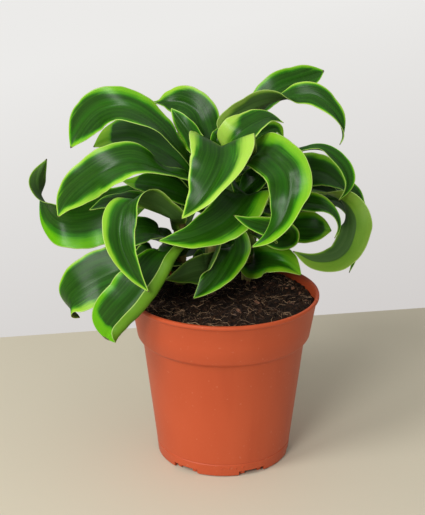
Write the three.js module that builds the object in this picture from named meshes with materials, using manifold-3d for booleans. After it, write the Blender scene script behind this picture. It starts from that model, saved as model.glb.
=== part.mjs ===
// Potted dracaena: three leafy canes in peat, in a plain nursery pot of terracotta-coloured plastic.
// Millimetres, +Z up, +X to the right, +Y to the back. The origin is the middle of the pot's underside.
import * as THREE from 'three';
import { mergeVertices } from 'three/addons/utils/BufferGeometryUtils.js';
import Module from 'manifold-3d';

const wasm = await Module();
wasm.setup();

// Driving dimensions -------------------------------------------------------------------------
const potHeight = 117;
const rimRadius = 65;
const footRadius = 46;
const wall = 1.4;
const lipHeight = 3;
const lipWidth = 2.4;
const collarTopRadius = 63.4; // the deep collar just under the lip
const collarBottom = 88;      // height at which the collar ends
const collarBottomRadius = 59.2;
const ledgeHeight = 4;        // the collar steps in to the body over this height
const bodyTopRadius = 55.5;
const footBand = 9;           // height of the plain band at the foot
const footBandProud = 0.8;
const edgeRound = 0.8;
const floorRaise = 4;         // the pot's floor stands this far above the ground
const floorThickness = 1.6;
const potSides = 48;
const footNotchCount = 6;
const footNotchTurn = -65;    // degrees from +X of the notch right of the front
const footNotchHeight = 3.2;
const footNotchWidth = 19;
const footNotchDepth = 12;
const drainHoleRadius = 4.5;
const drainHoleCircle = 34;
const drainHoleSides = 12;
const centrePadRadius = 12;

const gap = 0.3;              // left between pieces that touch
const soilLevel = 112;
const soilLift = 1.4;         // how far the crumbs of the surface rise and fall
const soilClearance = 0.7;    // to the pot's wall all round
const soilRings = 7;
const soilSpokes = 30;

const caneDepth = 30;         // how far a cane goes down into the soil
const caneSides = 10;
const caneSteps = 8;

const leafThickness = 1.1;
const leafRows = 14;
const baseShare = 0.28;       // width of a leaf where it clasps the cane, as a share of its widest
const throat = 1.5;           // the higher, the longer a leaf stays narrow after its base
const widestAt = 0.5;         // where along a leaf it is widest
const tipWidth = 0.8;
const tipTaper = 2.6;         // the higher, the longer a leaf stays broad before its tip
const shoulderTaper = 0.12;   // share of the width lost steadily between the widest place and the tip
const claspGap = 0.6;         // between a leaf's base and its cane
const claspLength = 7;        // a leaf runs this far up its cane before it leaves it
const claspFlare = 1.6;       // and has come this far away from it by then
const plainFold = 12;         // fold of a leaf that states none
const tightestRoom = 0.85;    // share of a bend's radius that the inner half of a blade may fill
const carrySteps = 40;        // fine steps between two stations
const lengthSteps = 400;      // fine steps that measure the length of a midrib
const archSteps = 6;          // points along the midrib of an arched leaf

// Leaf midribs are set out on a sheet that leans back through the centre of the rim and faces a
// viewpoint in front of the pot: right and up are measured on the sheet, and toward draws the
// point along the straight line to the viewpoint.
const viewpoint = new THREE.Vector3(-7.64, -773.75, 413.13);
const sheetLean = THREE.MathUtils.degToRad(19.378);
const sheetCentre = new THREE.Vector3(0, 0, potHeight);
const sheetUp = new THREE.Vector3(0, Math.sin(sheetLean), Math.cos(sheetLean));
const sheetFront = new THREE.Vector3(0, -Math.cos(sheetLean), Math.sin(sheetLean));
const viewDistance = viewpoint.clone().sub(sheetCentre).dot(sheetFront);

// Canes: the foot on the soil, the tip, and the radius.
const canes = {
  centre: { foot: [-9, 24, soilLevel], tip: [-6, 19, 213], radius: 4.6 },
  left: { foot: [-30, 27, soilLevel], tip: [-30, 13, 168], radius: 4.2 },
  right: { foot: [17, 36, soilLevel], tip: [18, 37, 178], radius: 4.2 },
};

// Leaves drawn station by station from the cane to the tip. base: height on the cane and the
// direction it leaves in (degrees from +X, 90 is to the back). Each station is right, up, toward,
// and turn: 0 shows the upper face to the viewpoint, 90 is edge-on, 180 shows the underside.
// fold raises the two halves of the blade from the midrib, in degrees. taper and widest shape its
// outline.
const drawnLeaves = [
  { name: 'leaf_top_left_arch', cane: 'centre', base: [186, 174], width: 28, taper: 5, widest: 0.6,
    stations: [
    [-24, 88, 22, 70], [-33, 99, 31, 68], [-43, 111, 34, 62], [-54, 119.5, 34, 50],
    [-64, 124.5, 32, 38], [-75, 126, 28, 24], [-86, 122.5, 22, 14], [-94, 115, 18, 14],
    [-99, 107, 15, 30], [-104.5, 97, 13, 50]] },
  { name: 'leaf_under_arch', cane: 'centre', base: [169, 157], width: 38,
    fold: 10, taper: 4.4, widest: 0.42,
    stations: [
    [-24, 80, 6, 58], [-36, 92, 3, 42], [-50, 100, -2, 36], [-63, 104.5, -4, 34],
    [-77, 103, -5, 42], [-89, 98, -4, 55]] },
  { name: 'leaf_left_broad', cane: 'centre', base: [176, 216], width: 29,
    taper: 3.4, widest: 0.62, fold: 10,
    stations: [
    [-24, 77.5, 36, 78], [-36, 80, 43, 80], [-45, 83, 47, 70], [-54, 86.5, 49, 54],
    [-63, 88, 50, 38], [-73, 86, 50, 26], [-83, 81.5, 48, 18], [-92, 75.5, 44, 8],
    [-101, 68, 40, 8], [-108, 60, 36, 18], [-113, 50, 34, 35]] },
  { name: 'leaf_left_curled_end', cane: 'left', base: [160, 136], width: 38, fold: 8, widest: 0.44,
    stations: [
    [-46, 65, 1, 62], [-60, 61, -3, 42], [-74, 53, -8, 20], [-88, 48, -9, 6], [-98, 46, -8, 2],
    [-108, 46.5, -6, -8], [-115.5, 50.5, -6, -42], [-121, 58, -5, -70], [-125.5, 66, -3, -105],
    [-126.5, 76, -2, -150], [-120.5, 90, 0, -165]] },
  { name: 'leaf_front_left_hanging', cane: 'left', base: [156.5, 217], width: 25, fold: 14,
    stations: [
    [-34, 49, 34, 128], [-44, 56.5, 43, 130], [-54, 61, 52, 124], [-62, 62, 59, 84],
    [-68.5, 55, 63, 30], [-71, 43, 66, 12], [-70, 31.5, 66, 8], [-66, 21, 66, 8],
    [-59.5, 9.5, 66, 8], [-51, -1, 64, 20]] },
  { name: 'leaf_lower_left_tucked', cane: 'left', base: [119.5, 186], width: 38,
    fold: 8, widest: 0.62, taper: 4,
    stations: [
    [-46, 20, 12, 60], [-60, 17.5, 8, 40], [-74, 13.5, 6, 26], [-87, 8, 2, 16], [-98, 1, 0, 20],
    [-105, -6.5, -4, 55], [-103.5, -14, -8, 100], [-98, -18.5, -10, 130]] },
  { name: 'leaf_rim_folded', cane: 'left', base: [136.5, 255], width: 39,
    fold: 10, widest: 0.7, taper: 8,
    stations: [
    [-33, 27, 38, 60], [-42, 17, 45, 34], [-51, 5.5, 49, 16], [-60.5, -6, 48, 10],
    [-70, -16, 46, 10], [-77, -25, 42, 20], [-80.5, -33, 38, 20]] },
  { name: 'leaf_front_saddle', cane: 'centre', base: [193, -101], width: 47, fold: 22, widest: 0.3,
    stations: [
    [-1.5, 94, 36, 180], [-1.5, 98.5, 48, 0], [-1.5, 90, 57, 6], [-5.5, 78, 63, 30],
    [-12.5, 66, 66, 42], [-20, 57, 65, 44], [-29, 49, 60, 46]] },
  { name: 'leaf_top_broad', cane: 'centre', base: [207.5, 151], width: 28, fold: 14, widest: 0.42,
    stations: [
    [-15, 112, -1.5, 24], [-19, 122, -5, 10], [-28.5, 128.5, -11, 6], [-37, 128.5, -14, 40],
    [-45, 128, -15, 80], [-53, 130.5, -16, 120]] },
  { name: 'leaf_top_inner', cane: 'centre', base: [200, 192], width: 15, fold: 12, widest: 0.42,
    stations: [
    [-19.5, 98, 16, 30], [-23, 106.5, 17, 15], [-28.5, 114.5, 17, 5], [-36, 124.5, 14, 0]] },
  { name: 'leaf_crown_spout', cane: 'centre', base: [200, -48], width: 25, fold: 12, widest: 0.42,
    stations: [
    [2, 97, 21, -20], [6, 103.5, 27, -18], [13, 109.5, 29, -28], [21, 114.5, 26, -44],
    [31, 118, 21, -58], [41, 114.5, 17, -70]] },
  { name: 'leaf_upper_right_twist', cane: 'centre', base: [205.5, 14], width: 22,
    fold: 12, widest: 0.34, taper: 3.4,
    stations: [
    [1, 111, 5, -150], [10, 118.5, 1, -150], [21, 124.5, -2, -146], [31, 128.5, -6, -124],
    [39, 130.5, -9, -88], [49, 132.5, -9, -45], [61, 133.5, -6, -24], [73, 125, -2, -35],
    [80, 114, 0, -60], [81.5, 105, 0, -100], [79, 99, 0, -130]] },
  { name: 'leaf_topmost', cane: 'centre', base: [211, 77], width: 22,
    fold: 10, widest: 0.66, taper: 6,
    stations: [
    [13.5, 114, -30, -50], [21, 122, -31, -40], [29, 131.5, -33, -30], [37.5, 139, -33, -22],
    [48, 143, -35, -16], [58, 146, -36, -16], [68.5, 150, -37, -30]] },
  { name: 'leaf_small_dark', cane: 'centre', base: [195, 35], width: 17, fold: 12, stations: [
    [12, 98.5, 0, -40], [20, 104, 1, -30], [29, 108.5, 0, -22], [36.5, 110.5, -2, -20],
    [41, 104.5, -3, -30]] },
  { name: 'leaf_right_hook', cane: 'centre', base: [187, -20], width: 33, fold: 10, widest: 0.44,
    stations: [
    [12.5, 85.5, 6, -66], [21.5, 93, 23, -54], [30.5, 92.5, 47, -36], [39, 86, 54, -18],
    [44, 79, 60, -2], [45.5, 69, 61, 6], [44, 59, 62, 28], [41, 50, 63, 38], [36, 42, 62, 42],
    [29, 35, 58, 44], [18.5, 29.5, 54, 48]] },
  { name: 'leaf_right_arc', cane: 'centre', base: [181, 5], width: 14, fold: 14, widest: 0.62,
    stations: [
    [26, 84, 0, -60], [42, 91.5, 6, -70], [56, 96.5, 12, -80], [67, 96.5, 13, -74],
    [76, 91, 13, -52], [83, 83, 13, -36], [85.5, 75, 13, -30], [83.5, 68, 14, -45],
    [78, 61, 14, -70]] },
  { name: 'leaf_behind_arc', cane: 'centre', base: [169, 28], width: 27,
    fold: 10, widest: 0.58, taper: 3.6,
    stations: [
    [26, 74, -6, -55], [44, 80, -8, -40], [58, 82, -8, -30], [69, 80, -9, -30], [78, 74, -11, -42],
    [84, 67, -12, -60]] },
  { name: 'leaf_right_sweep', cane: 'right', base: [169, 0], width: 23, fold: 10, widest: 0.56,
    stations: [
    [38, 68, -14, -55], [52, 70, -12, -50], [64, 69, -8, -54], [74, 65.5, -3, -84],
    [83, 60, 3, -124], [88.5, 51, 9, -152], [89, 42, 14, -165], [86, 32, 18, -170],
    [80.5, 24.5, 23, -172], [72, 20.5, 28, -175], [60, 20.5, 32, -175], [47, 27, 36, -165]] },
  { name: 'leaf_right_narrow', cane: 'right', base: [158, -45], width: 15, fold: 12, stations: [
    [36, 56, 8, -50], [50, 60, 18, -30], [61, 59.5, 26, -24], [70, 57, 30, -42],
    [76.5, 50.5, 32, -62], [78.5, 43, 32, -68], [75.5, 35.5, 32, -70]] },
  { name: 'leaf_right_round', cane: 'right', base: [153, -8], width: 24,
    fold: 10, widest: 0.6, taper: 4.6,
    stations: [
    [34, 42, -16, -48], [46, 42.5, -10, -26], [58, 42.5, -4, -18], [66.5, 42, -1, -18],
    [73.5, 41, 0, -26]] },
  { name: 'leaf_returning_tip', cane: 'right', base: [140, -62], width: 19, fold: 10, stations: [
    [34, 36, 10, -60], [43, 38, 26, -10], [37, 41, 42, 20], [27, 44, 52, 12], [16, 47, 57, 8],
    [6.5, 51.5, 58, 10]] },
  { name: 'leaf_low_saddle', cane: 'centre', base: [158, -72], width: 34, fold: 14, widest: 0.38,
    stations: [
    [12, 64, 24, 178], [17, 65.5, 35, 24], [11, 58, 42, 12], [2.5, 49, 46, 10], [-9, 41.5, 48, 14],
    [-21, 36.5, 53, 24], [-33, 34.5, 55, 32], [-45, 34, 55, 40]] },
  { name: 'leaf_over_soil', cane: 'right', base: [131, -110], width: 31, fold: 12, widest: 0.36,
    stations: [
    [8, 33, -4, 160], [4, 26.5, 12, 18], [-0.5, 18, 19, 8], [-6, 9.5, 23, 14], [-12.5, 2, 25, 20],
    [-21, -5.5, 26, 30]] },
  { name: 'leaf_soil_right', cane: 'right', base: [119, -72], width: 28, fold: 12, widest: 0.4,
    stations: [
    [21, 20, -14, -20], [31, 21.5, -7, -20], [42.5, 18.5, 0, -28], [53, 10.5, 5, -40]] },
  { name: 'leaf_under_broad', cane: 'centre', base: [160, 178], width: 26, fold: 10, stations: [
    [-24, 64, 10, 55], [-38, 70, 12, 42], [-50, 72.5, 10, 42], [-61, 73.5, 8, 48],
    [-69.5, 75, 6, 56]] },
  { name: 'leaf_left_rear', cane: 'left', base: [164.5, 175], width: 18, fold: 10, stations: [
    [-42, 57.5, 20, 72], [-54, 60, 26, 56], [-66, 61.5, 26, 46], [-80, 60, 18, 46],
    [-92, 55, 11, 50]] },
  { name: 'leaf_left_shadow', cane: 'left', base: [143, 222], width: 27, fold: 10, stations: [
    [-40, 37, 20, 88], [-51, 39.5, 22, 50], [-62, 39, 21, 38], [-74, 35, 18, 45], [-81, 29, 16, 50]] },
  { name: 'leaf_behind_folded', cane: 'left', base: [126.5, 223], width: 28, fold: 10, stations: [
    [-40, 19.5, 20, 88], [-48, 23, 32, 38], [-55, 19, 34, 15], [-61, 7, 33, 16]] },
  { name: 'leaf_behind_saddle', cane: 'centre', base: [167, -45], width: 20, fold: 10, stations: [
    [14, 68, 9, -55], [22, 76, 11, -35], [29, 83, 10, -25], [33, 91, 9, -20]] },
  { name: 'leaf_left_low_olive', cane: 'centre', base: [128, 222], width: 23, fold: 10, widest: 0.4,
    stations: [
    [-12, 15, 14, 150], [-20, 13.5, 22, 152], [-30, 10, 28, 150], [-40, 7.5, 31, 140]] },
  { name: 'leaf_right_far', cane: 'right', base: [162, 32], width: 18, fold: 10, taper: 3.6,
    stations: [
    [40, 64, -30, -50], [60, 70, -30, -42], [78, 71, -27, -36], [89, 67, -24, -36],
    [96.5, 58.5, -22, -50]] },
  { name: 'leaf_right_low', cane: 'right', base: [138, 20], width: 15, fold: 10, stations: [
    [42, 46, -29, -55], [62, 60, -36, -45], [78, 61, -36, -45], [88, 50, -32, -50],
    [91, 36, -25, -60], [89, 22, -19, -60], [85.5, 12, -15, -60]] },
  { name: 'leaf_right_back_low', cane: 'right', base: [127, 165], width: 29, fold: 10, widest: 0.4,
    stations: [
    [6, 31, -28, 45], [-7, 33.5, -35, 38], [-18, 30.5, -38, 38], [-33, 22, -38, 45]] },
];

// Leaves that leave the cane in a plain arch. base as above; reach is the length, rise and droop
// the slope at the cane and at the tip, drift how far the arch wanders sideways, and twist how far
// the blade has turned at the tip, all but the length in degrees.
const archedLeaves = [
  { name: 'leaf_centre_back', cane: 'centre', base: [192, 93], width: 27, reach: 105, rise: 34,
    droop: -60, drift: 10, twist: 30 },
  { name: 'leaf_centre_back_left', cane: 'centre', base: [181, 110], width: 26, reach: 112, rise: 38,
    droop: -60, drift: 5, twist: -40 },
  { name: 'leaf_centre_back_right', cane: 'centre', base: [186, 60], width: 26, reach: 105, rise: 28,
    droop: -65, drift: -8, twist: 40 },
  { name: 'leaf_centre_low_back', cane: 'centre', base: [156, 102], width: 26, reach: 105, rise: 42,
    droop: -75, drift: 0, twist: 30 },
  { name: 'leaf_left_back', cane: 'left', base: [143, 84], width: 24, reach: 92, rise: 30,
    droop: -60, drift: 10, twist: 30 },
  { name: 'leaf_left_back_low', cane: 'left', base: [134, 130], width: 28, reach: 90, rise: 5,
    droop: -55, drift: 5, twist: -30 },
  { name: 'leaf_right_back', cane: 'right', base: [156, 92], width: 26, reach: 100, rise: 45,
    droop: -70, drift: -8, twist: 30 },
  { name: 'leaf_right_back_right', cane: 'right', base: [146, 66], width: 26, reach: 100, rise: 30,
    droop: -65, drift: -10, twist: 30 },
];

// Helpers ------------------------------------------------------------------------------------
function solidOf(geometry) {
  const bare = geometry.clone();
  bare.deleteAttribute('normal');
  bare.deleteAttribute('uv');
  const merged = mergeVertices(bare, 1e-4);
  return new wasm.Manifold(new wasm.Mesh({
    numProp: 3,
    vertProperties: new Float32Array(merged.attributes.position.array),
    triVerts: new Uint32Array(merged.index.array),
  }));
}

function geometryOf(solid) {
  const { numProp, vertProperties, triVerts } = solid.getMesh();
  const positions = new Float32Array((vertProperties.length / numProp) * 3);
  for (let i = 0; i < positions.length / 3; i++) {
    positions.set(vertProperties.subarray(i * numProp, i * numProp + 3), i * 3);
  }
  const geometry = new THREE.BufferGeometry();
  geometry.setAttribute('position', new THREE.BufferAttribute(positions, 3));
  geometry.setIndex(new THREE.BufferAttribute(new Uint32Array(triVerts), 1));
  geometry.computeVertexNormals();
  return geometry;
}

function lathe(profile, sides) {
  const turned = new THREE.LatheGeometry(profile.map(([r, z]) => new THREE.Vector2(r, z)), sides);
  return turned.rotateX(Math.PI / 2);
}

function radial(degrees) {
  const a = THREE.MathUtils.degToRad(degrees);
  return new THREE.Vector3(Math.cos(a), Math.sin(a), 0);
}

function smooth(x) {
  const t = THREE.MathUtils.clamp(x, 0, 1);
  return t * t * (3 - 2 * t);
}

// Pot ----------------------------------------------------------------------------------------
const lipBottom = potHeight - lipHeight;
const floorTop = floorRaise + floorThickness;

function outerRadius(z) {
  if (z >= collarBottom) {
    return THREE.MathUtils.mapLinear(z, collarBottom, lipBottom, collarBottomRadius, collarTopRadius);
  }
  return THREE.MathUtils.mapLinear(
    z, footBand, collarBottom - ledgeHeight, footRadius + footBandProud, bodyTopRadius);
}

function innerRadius(z) {
  return outerRadius(z) - wall;
}

function potProfile() {
  const ledgeFoot = collarBottom - ledgeHeight;
  const footInside = footRadius - wall;
  const underside = [
    [0, 0], [centrePadRadius, 0], [centrePadRadius + 1, floorRaise],
    [footInside - 1.2, floorRaise], [footInside - 0.6, 0],
  ];
  const outside = [
    [footRadius - edgeRound, 0], [footRadius, edgeRound],
    [footRadius + footBandProud / 2, footBand - 0.6], [outerRadius(footBand), footBand],
    [bodyTopRadius, ledgeFoot], [bodyTopRadius + 0.4, ledgeFoot + ledgeHeight / 2],
    [collarBottomRadius, collarBottom], [collarTopRadius, lipBottom - 0.4],
    [rimRadius - edgeRound / 2, lipBottom], [rimRadius, lipBottom + edgeRound],
    [rimRadius, potHeight - edgeRound], [rimRadius - edgeRound, potHeight],
  ];
  const inside = [
    [rimRadius - lipWidth, potHeight], [collarTopRadius - wall, lipBottom - 1],
    [collarBottomRadius - wall, collarBottom - wall], [bodyTopRadius - wall, ledgeFoot + 0.6],
    [footInside + 0.4, floorTop + 2], [footInside - 2, floorTop], [0, floorTop],
  ];
  return [...underside, ...outside, ...inside];
}

function makePot() {
  let pot = solidOf(lathe(potProfile(), potSides));
  for (let i = 0; i < footNotchCount; i++) {
    const turn = THREE.MathUtils.degToRad(footNotchTurn + (360 / footNotchCount) * i);
    const notch = new THREE.BoxGeometry(footNotchDepth, footNotchWidth, footNotchHeight * 2);
    notch.translate(footRadius, 0, 0).rotateZ(turn);
    const hole = new THREE.CylinderGeometry(
      drainHoleRadius, drainHoleRadius, footBand, drainHoleSides);
    hole.rotateX(Math.PI / 2).translate(drainHoleCircle, 0, floorTop).rotateZ(turn);
    pot = pot.subtract(solidOf(notch)).subtract(solidOf(hole));
  }
  return geometryOf(pot);
}

// Canes and soil -----------------------------------------------------------------------------
function canePoint(cane, z) {
  const foot = new THREE.Vector3(...cane.foot);
  const tip = new THREE.Vector3(...cane.tip);
  return foot.lerp(tip, (z - cane.foot[2]) / (cane.tip[2] - cane.foot[2]));
}

function makeCane(cane, swell) {
  const path = new THREE.LineCurve3(
    canePoint(cane, soilLevel - caneDepth - swell), canePoint(cane, cane.tip[2]));
  const section = new THREE.Shape();
  section.absarc(0, 0, cane.radius + swell, 0, Math.PI * 2);
  return new THREE.ExtrudeGeometry(section, {
    steps: caneSteps, curveSegments: caneSides, bevelEnabled: false, extrudePath: path,
  });
}

function soilHeight(x, y) {
  const humps = Math.sin(x * 0.19 + 1.3) * Math.cos(y * 0.23 - 0.4);
  const crumbs = Math.sin(x * 0.47 - y * 0.31);
  return soilLevel + soilLift * (humps * 0.66 + crumbs * 0.33);
}

function makeSoil() {
  const bottom = floorTop + gap;
  const inPot = (z) => innerRadius(z) - soilClearance;
  const profile = [
    [0, bottom], [footRadius - wall - 3, bottom], [footRadius - wall - 0.6, bottom + 3],
    [inPot(collarBottom - ledgeHeight - 1), collarBottom - ledgeHeight],
    [inPot(collarBottom + ledgeHeight), collarBottom + ledgeHeight],
  ];
  for (let i = soilRings; i >= 0; i--) {
    profile.push([inPot(soilLevel) * (i / soilRings), soilLevel]);
  }
  const geometry = lathe(profile, soilSpokes);
  const position = geometry.attributes.position;
  for (let i = 0; i < position.count; i++) {
    if (position.getZ(i) > soilLevel - 0.01) {
      position.setZ(i, soilHeight(position.getX(i), position.getY(i)));
    }
  }
  let soil = solidOf(geometry);
  for (const cane of Object.values(canes)) {
    soil = soil.subtract(solidOf(makeCane(cane, gap)));
  }
  return geometryOf(soil);
}

// Leaves -------------------------------------------------------------------------------------
function onSheet(right, up, toward) {
  const point = sheetCentre.clone().addScaledVector(sheetUp, up);
  point.x += right;
  return point.lerp(viewpoint, toward / viewDistance);
}

// The two points and the upper-face direction where a leaf clasps its cane.
function clasp(leaf) {
  const cane = canes[leaf.cane];
  const [height, direction] = leaf.base;
  const out = radial(direction);
  const stand = cane.radius + claspGap;
  const low = canePoint(cane, height).addScaledVector(out, stand);
  const high = canePoint(cane, height + claspLength).addScaledVector(out, stand + claspFlare);
  return { points: [low, high], face: out.clone().negate() };
}

function squareTo(vector, tangent) {
  return vector.clone().addScaledVector(tangent, -vector.dot(tangent)).normalize();
}

function drawnGuide(leaf) {
  const { points, face } = clasp(leaf);
  for (const [right, up, toward] of leaf.stations) {
    points.push(onSheet(right, up, toward));
  }
  const curve = new THREE.CatmullRomCurve3(points, false, 'centripetal');
  const faces = points.map((point, i) => {
    const tangent = curve.getTangent(i / (points.length - 1));
    if (i < 2) {
      return squareTo(face, tangent);
    }
    const turn = THREE.MathUtils.degToRad(leaf.stations[i - 2][3]);
    const toViewer = squareTo(viewpoint.clone().sub(point), tangent);
    return toViewer.applyAxisAngle(tangent, turn);
  });
  return { curve, faces };
}

function archedGuide(leaf) {
  const { points, face } = clasp(leaf);
  const faces = [face, face];
  const step = leaf.reach / archSteps;
  const point = points[1].clone();
  for (let i = 1; i <= archSteps; i++) {
    const along = (i - 0.5) / archSteps;
    const slope = THREE.MathUtils.degToRad(
      THREE.MathUtils.lerp(leaf.rise, leaf.droop, smooth(along * 0.9)));
    const out = radial(leaf.base[1] + leaf.drift * along);
    point.addScaledVector(out, Math.cos(slope) * step);
    point.z += Math.sin(slope) * step;
    points.push(point.clone());
    const tangent = out.clone().multiplyScalar(Math.cos(slope));
    tangent.z = Math.sin(slope);
    const up = out.multiplyScalar(-Math.sin(slope));
    up.z = Math.cos(slope);
    faces.push(up.applyAxisAngle(tangent, THREE.MathUtils.degToRad(leaf.twist * along * along)));
  }
  return { curve: new THREE.CatmullRomCurve3(points, false, 'centripetal'), faces };
}

// Share of the full width at a place along the blade, from 0 at the cane to 1 at the tip.
function outline(along, widest, taper) {
  if (along < widest) {
    return baseShare + (1 - baseShare) * smooth(along / widest) ** throat;
  }
  const past = (along - widest) / (1 - widest);
  return (1 - past ** taper) * (1 - shoulderTaper * past);
}

// Evenly spaced rows along the midrib, each with its place, tangent and upper-face direction.
function leafRowsOf(guide) {
  const { curve, faces } = guide;
  const last = faces.length - 1;
  curve.arcLengthDivisions = lengthSteps;
  const rows = [];
  for (let i = 0; i <= leafRows; i++) {
    const t = THREE.MathUtils.clamp(curve.getUtoTmapping(i / leafRows), 0, 1);
    rows.push({ t, point: curve.getPoint(t), tangent: curve.getTangent(t) });
  }
  // A frame that is carried along the curve without spinning, in fine steps.
  const carried = [squareTo(faces[0], curve.getTangent(0))];
  for (let i = 1; i <= last * carrySteps; i++) {
    carried.push(squareTo(carried[i - 1], curve.getTangent(i / (last * carrySteps))));
  }
  const carriedAt = (t) => carried[Math.round(t * last * carrySteps)];
  const spin = (t, face) => {
    const tangent = curve.getTangent(t);
    const from = squareTo(carriedAt(t), tangent);
    const to = squareTo(face, tangent);
    return Math.atan2(from.clone().cross(to).dot(tangent), from.dot(to));
  };
  const spins = faces.map((face, i) => spin(i / last, face));
  for (let i = 1; i <= last; i++) {
    spins[i] += Math.round((spins[i - 1] - spins[i]) / (2 * Math.PI)) * 2 * Math.PI;
  }
  for (const row of rows) {
    const place = Math.min(Math.floor(row.t * last), last - 1);
    const angle = THREE.MathUtils.lerp(spins[place], spins[place + 1], smooth(row.t * last - place));
    row.face = squareTo(carriedAt(row.t), row.tangent).applyAxisAngle(row.tangent, angle);
    row.side = row.face.clone().cross(row.tangent);
  }
  return rows;
}

function makeLeaf(leaf) {
  const rows = leafRowsOf(leaf.stations ? drawnGuide(leaf) : archedGuide(leaf));
  const fold = THREE.MathUtils.degToRad(leaf.fold ?? plainFold);
  const positions = [];
  rows.forEach((row, i) => {
    const share = outline(i / leafRows, leaf.widest ?? widestAt, leaf.taper ?? tipTaper);
    const half = Math.max(leaf.width * share, tipWidth) / 2;
    const before = rows[Math.max(i - 1, 0)];
    const after = rows[Math.min(i + 1, leafRows)];
    const apart = before.point.distanceTo(after.point);
    const bend = after.tangent.clone().sub(before.tangent).divideScalar(apart);
    const inward = bend.dot(row.side);
    for (const side of [-1, 0, 1]) {
      const room = side * inward > 0 ? tightestRoom / Math.abs(inward) : Infinity;
      const reach = Math.min(half, room) * side;
      const edge = row.point.clone()
        .addScaledVector(row.side, reach * Math.cos(fold))
        .addScaledVector(row.face, Math.abs(reach) * Math.sin(fold));
      positions.push(...edge.toArray());
    }
    for (const k of [-3, -2, -1]) {
      const upper = new THREE.Vector3().fromArray(positions, (i * 6 + 3 + k) * 3);
      positions.push(...upper.addScaledVector(row.face, -leafThickness).toArray());
    }
  });
  const index = [];
  const quad = (a, b, c, d) => index.push(a, b, c, a, c, d);
  for (let i = 0; i < leafRows; i++) {
    const near = i * 6;
    const far = near + 6;
    for (const k of [0, 1]) {
      quad(near + k, far + k, far + k + 1, near + k + 1);
      quad(near + k + 3, near + k + 4, far + k + 4, far + k + 3);
    }
    quad(near, near + 3, far + 3, far);
    quad(near + 2, far + 2, far + 5, near + 5);
  }
  const end = leafRows * 6;
  for (const k of [0, 1]) {
    quad(k, k + 1, k + 4, k + 3);
    quad(end + k, end + k + 3, end + k + 4, end + k + 1);
  }
  const geometry = new THREE.BufferGeometry();
  geometry.setAttribute('position', new THREE.Float32BufferAttribute(positions, 3));
  geometry.setIndex(index);
  geometry.computeVertexNormals();
  return geometry;
}

// The plant in its pot -----------------------------------------------------------------------
const potMaterial = new THREE.MeshStandardMaterial({ color: 0xc25e3a, roughness: 0.5, metalness: 0 });
const soilMaterial = new THREE.MeshStandardMaterial({ color: 0x2e1d14, roughness: 1, metalness: 0 });
const caneMaterial = new THREE.MeshStandardMaterial({ color: 0x9aa255, roughness: 0.6, metalness: 0 });
const leafMaterial = new THREE.MeshStandardMaterial({ color: 0x3f7a35, roughness: 0.4, metalness: 0 });

const pottedDracaena = new THREE.Group();

function place(name, geometry, material) {
  const mesh = new THREE.Mesh(geometry, material);
  mesh.name = name;
  pottedDracaena.add(mesh);
}

place('pot', makePot(), potMaterial);
place('soil', makeSoil(), soilMaterial);
for (const [name, cane] of Object.entries(canes)) {
  place(`cane_${name}`, makeCane(cane, 0), caneMaterial);
}
for (const leaf of [...drawnLeaves, ...archedLeaves]) {
  place(leaf.name, makeLeaf(leaf), leafMaterial);
}

export default pottedDracaena;
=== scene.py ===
import math
import random

import bpy
import numpy as np
from mathutils import Euler, Matrix, Vector, noise


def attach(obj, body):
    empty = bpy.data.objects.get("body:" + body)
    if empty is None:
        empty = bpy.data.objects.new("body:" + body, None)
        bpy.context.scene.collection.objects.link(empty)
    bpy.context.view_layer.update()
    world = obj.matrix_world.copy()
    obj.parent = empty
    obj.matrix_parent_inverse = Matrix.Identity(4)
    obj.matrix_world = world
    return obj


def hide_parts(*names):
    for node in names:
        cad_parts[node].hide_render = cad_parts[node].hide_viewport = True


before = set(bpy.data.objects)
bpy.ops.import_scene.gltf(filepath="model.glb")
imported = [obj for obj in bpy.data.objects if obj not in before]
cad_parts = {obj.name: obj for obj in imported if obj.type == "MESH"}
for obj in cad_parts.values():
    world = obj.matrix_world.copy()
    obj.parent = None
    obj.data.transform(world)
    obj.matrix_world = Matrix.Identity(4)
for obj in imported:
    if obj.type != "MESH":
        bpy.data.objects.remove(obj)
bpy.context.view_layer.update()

# The potted dracaena: leaves, canes, peat and nursery pot. Drawing sizes are millimetres, and MM turns
# them into metres as a mesh is made.
MM = 0.001

# ---------------------------------------------------------------- pot and peat, as moulded and filled
POT_HEIGHT = 117
RIM_RADIUS = 65
FOOT_RADIUS = 46
WALL = 1.4
LIP_HEIGHT = 3
LIP_WIDTH = 2.4
COLLAR_TOP_RADIUS = 63.4
COLLAR_BOTTOM = 88
COLLAR_BOTTOM_RADIUS = 59.2
LEDGE_HEIGHT = 4
BODY_TOP_RADIUS = 55.5
FOOT_BAND = 9
FOOT_BAND_PROUD = 0.8
FLOOR_RAISE = 4
FLOOR_THICKNESS = 1.6
CENTRE_PAD_RADIUS = 12
POT_SIDES = 144
NOTCH_COUNT = 6
NOTCH_TURN = -65
NOTCH_HEIGHT = 3.2
NOTCH_WIDTH = 19
NOTCH_DEPTH = 12
DRAIN_RADIUS = 4.5
DRAIN_CIRCLE = 34
LUG_SPREAD = 8.2                     # degrees from the middle of a notch to the lugs beside it
LUG_INSET = 3.0
LUG_MIDDLE = 2.1
LUG_SIZE = (2.2, 3.2, 4.0)
MARK_TURNS = (-92, -86, -80, -74)    # degrees round the foot
MARK_RADII = (1.5, 0.9)
MARK_DEPTH = 0.9
MARK_PROUD = 0.55
MARK_HEIGHT = 6.3
SOIL_LEVEL = 112
SOIL_CLEARANCE = 0.7
SOIL_SPOKES = 150
SOIL_RINGS = 56
HUMPS, LUMPS, CRUMBS = (0.045, 2.0), (0.16, 1.5), (0.55, 1.3)    # how close together, and how high
PEAT_SETTLED = 0.6
FINE_CRUMBS = dict(name="peat_crumbs_fine", count=1500, seed=3, sizes=(0.35, 0.9))
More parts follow.
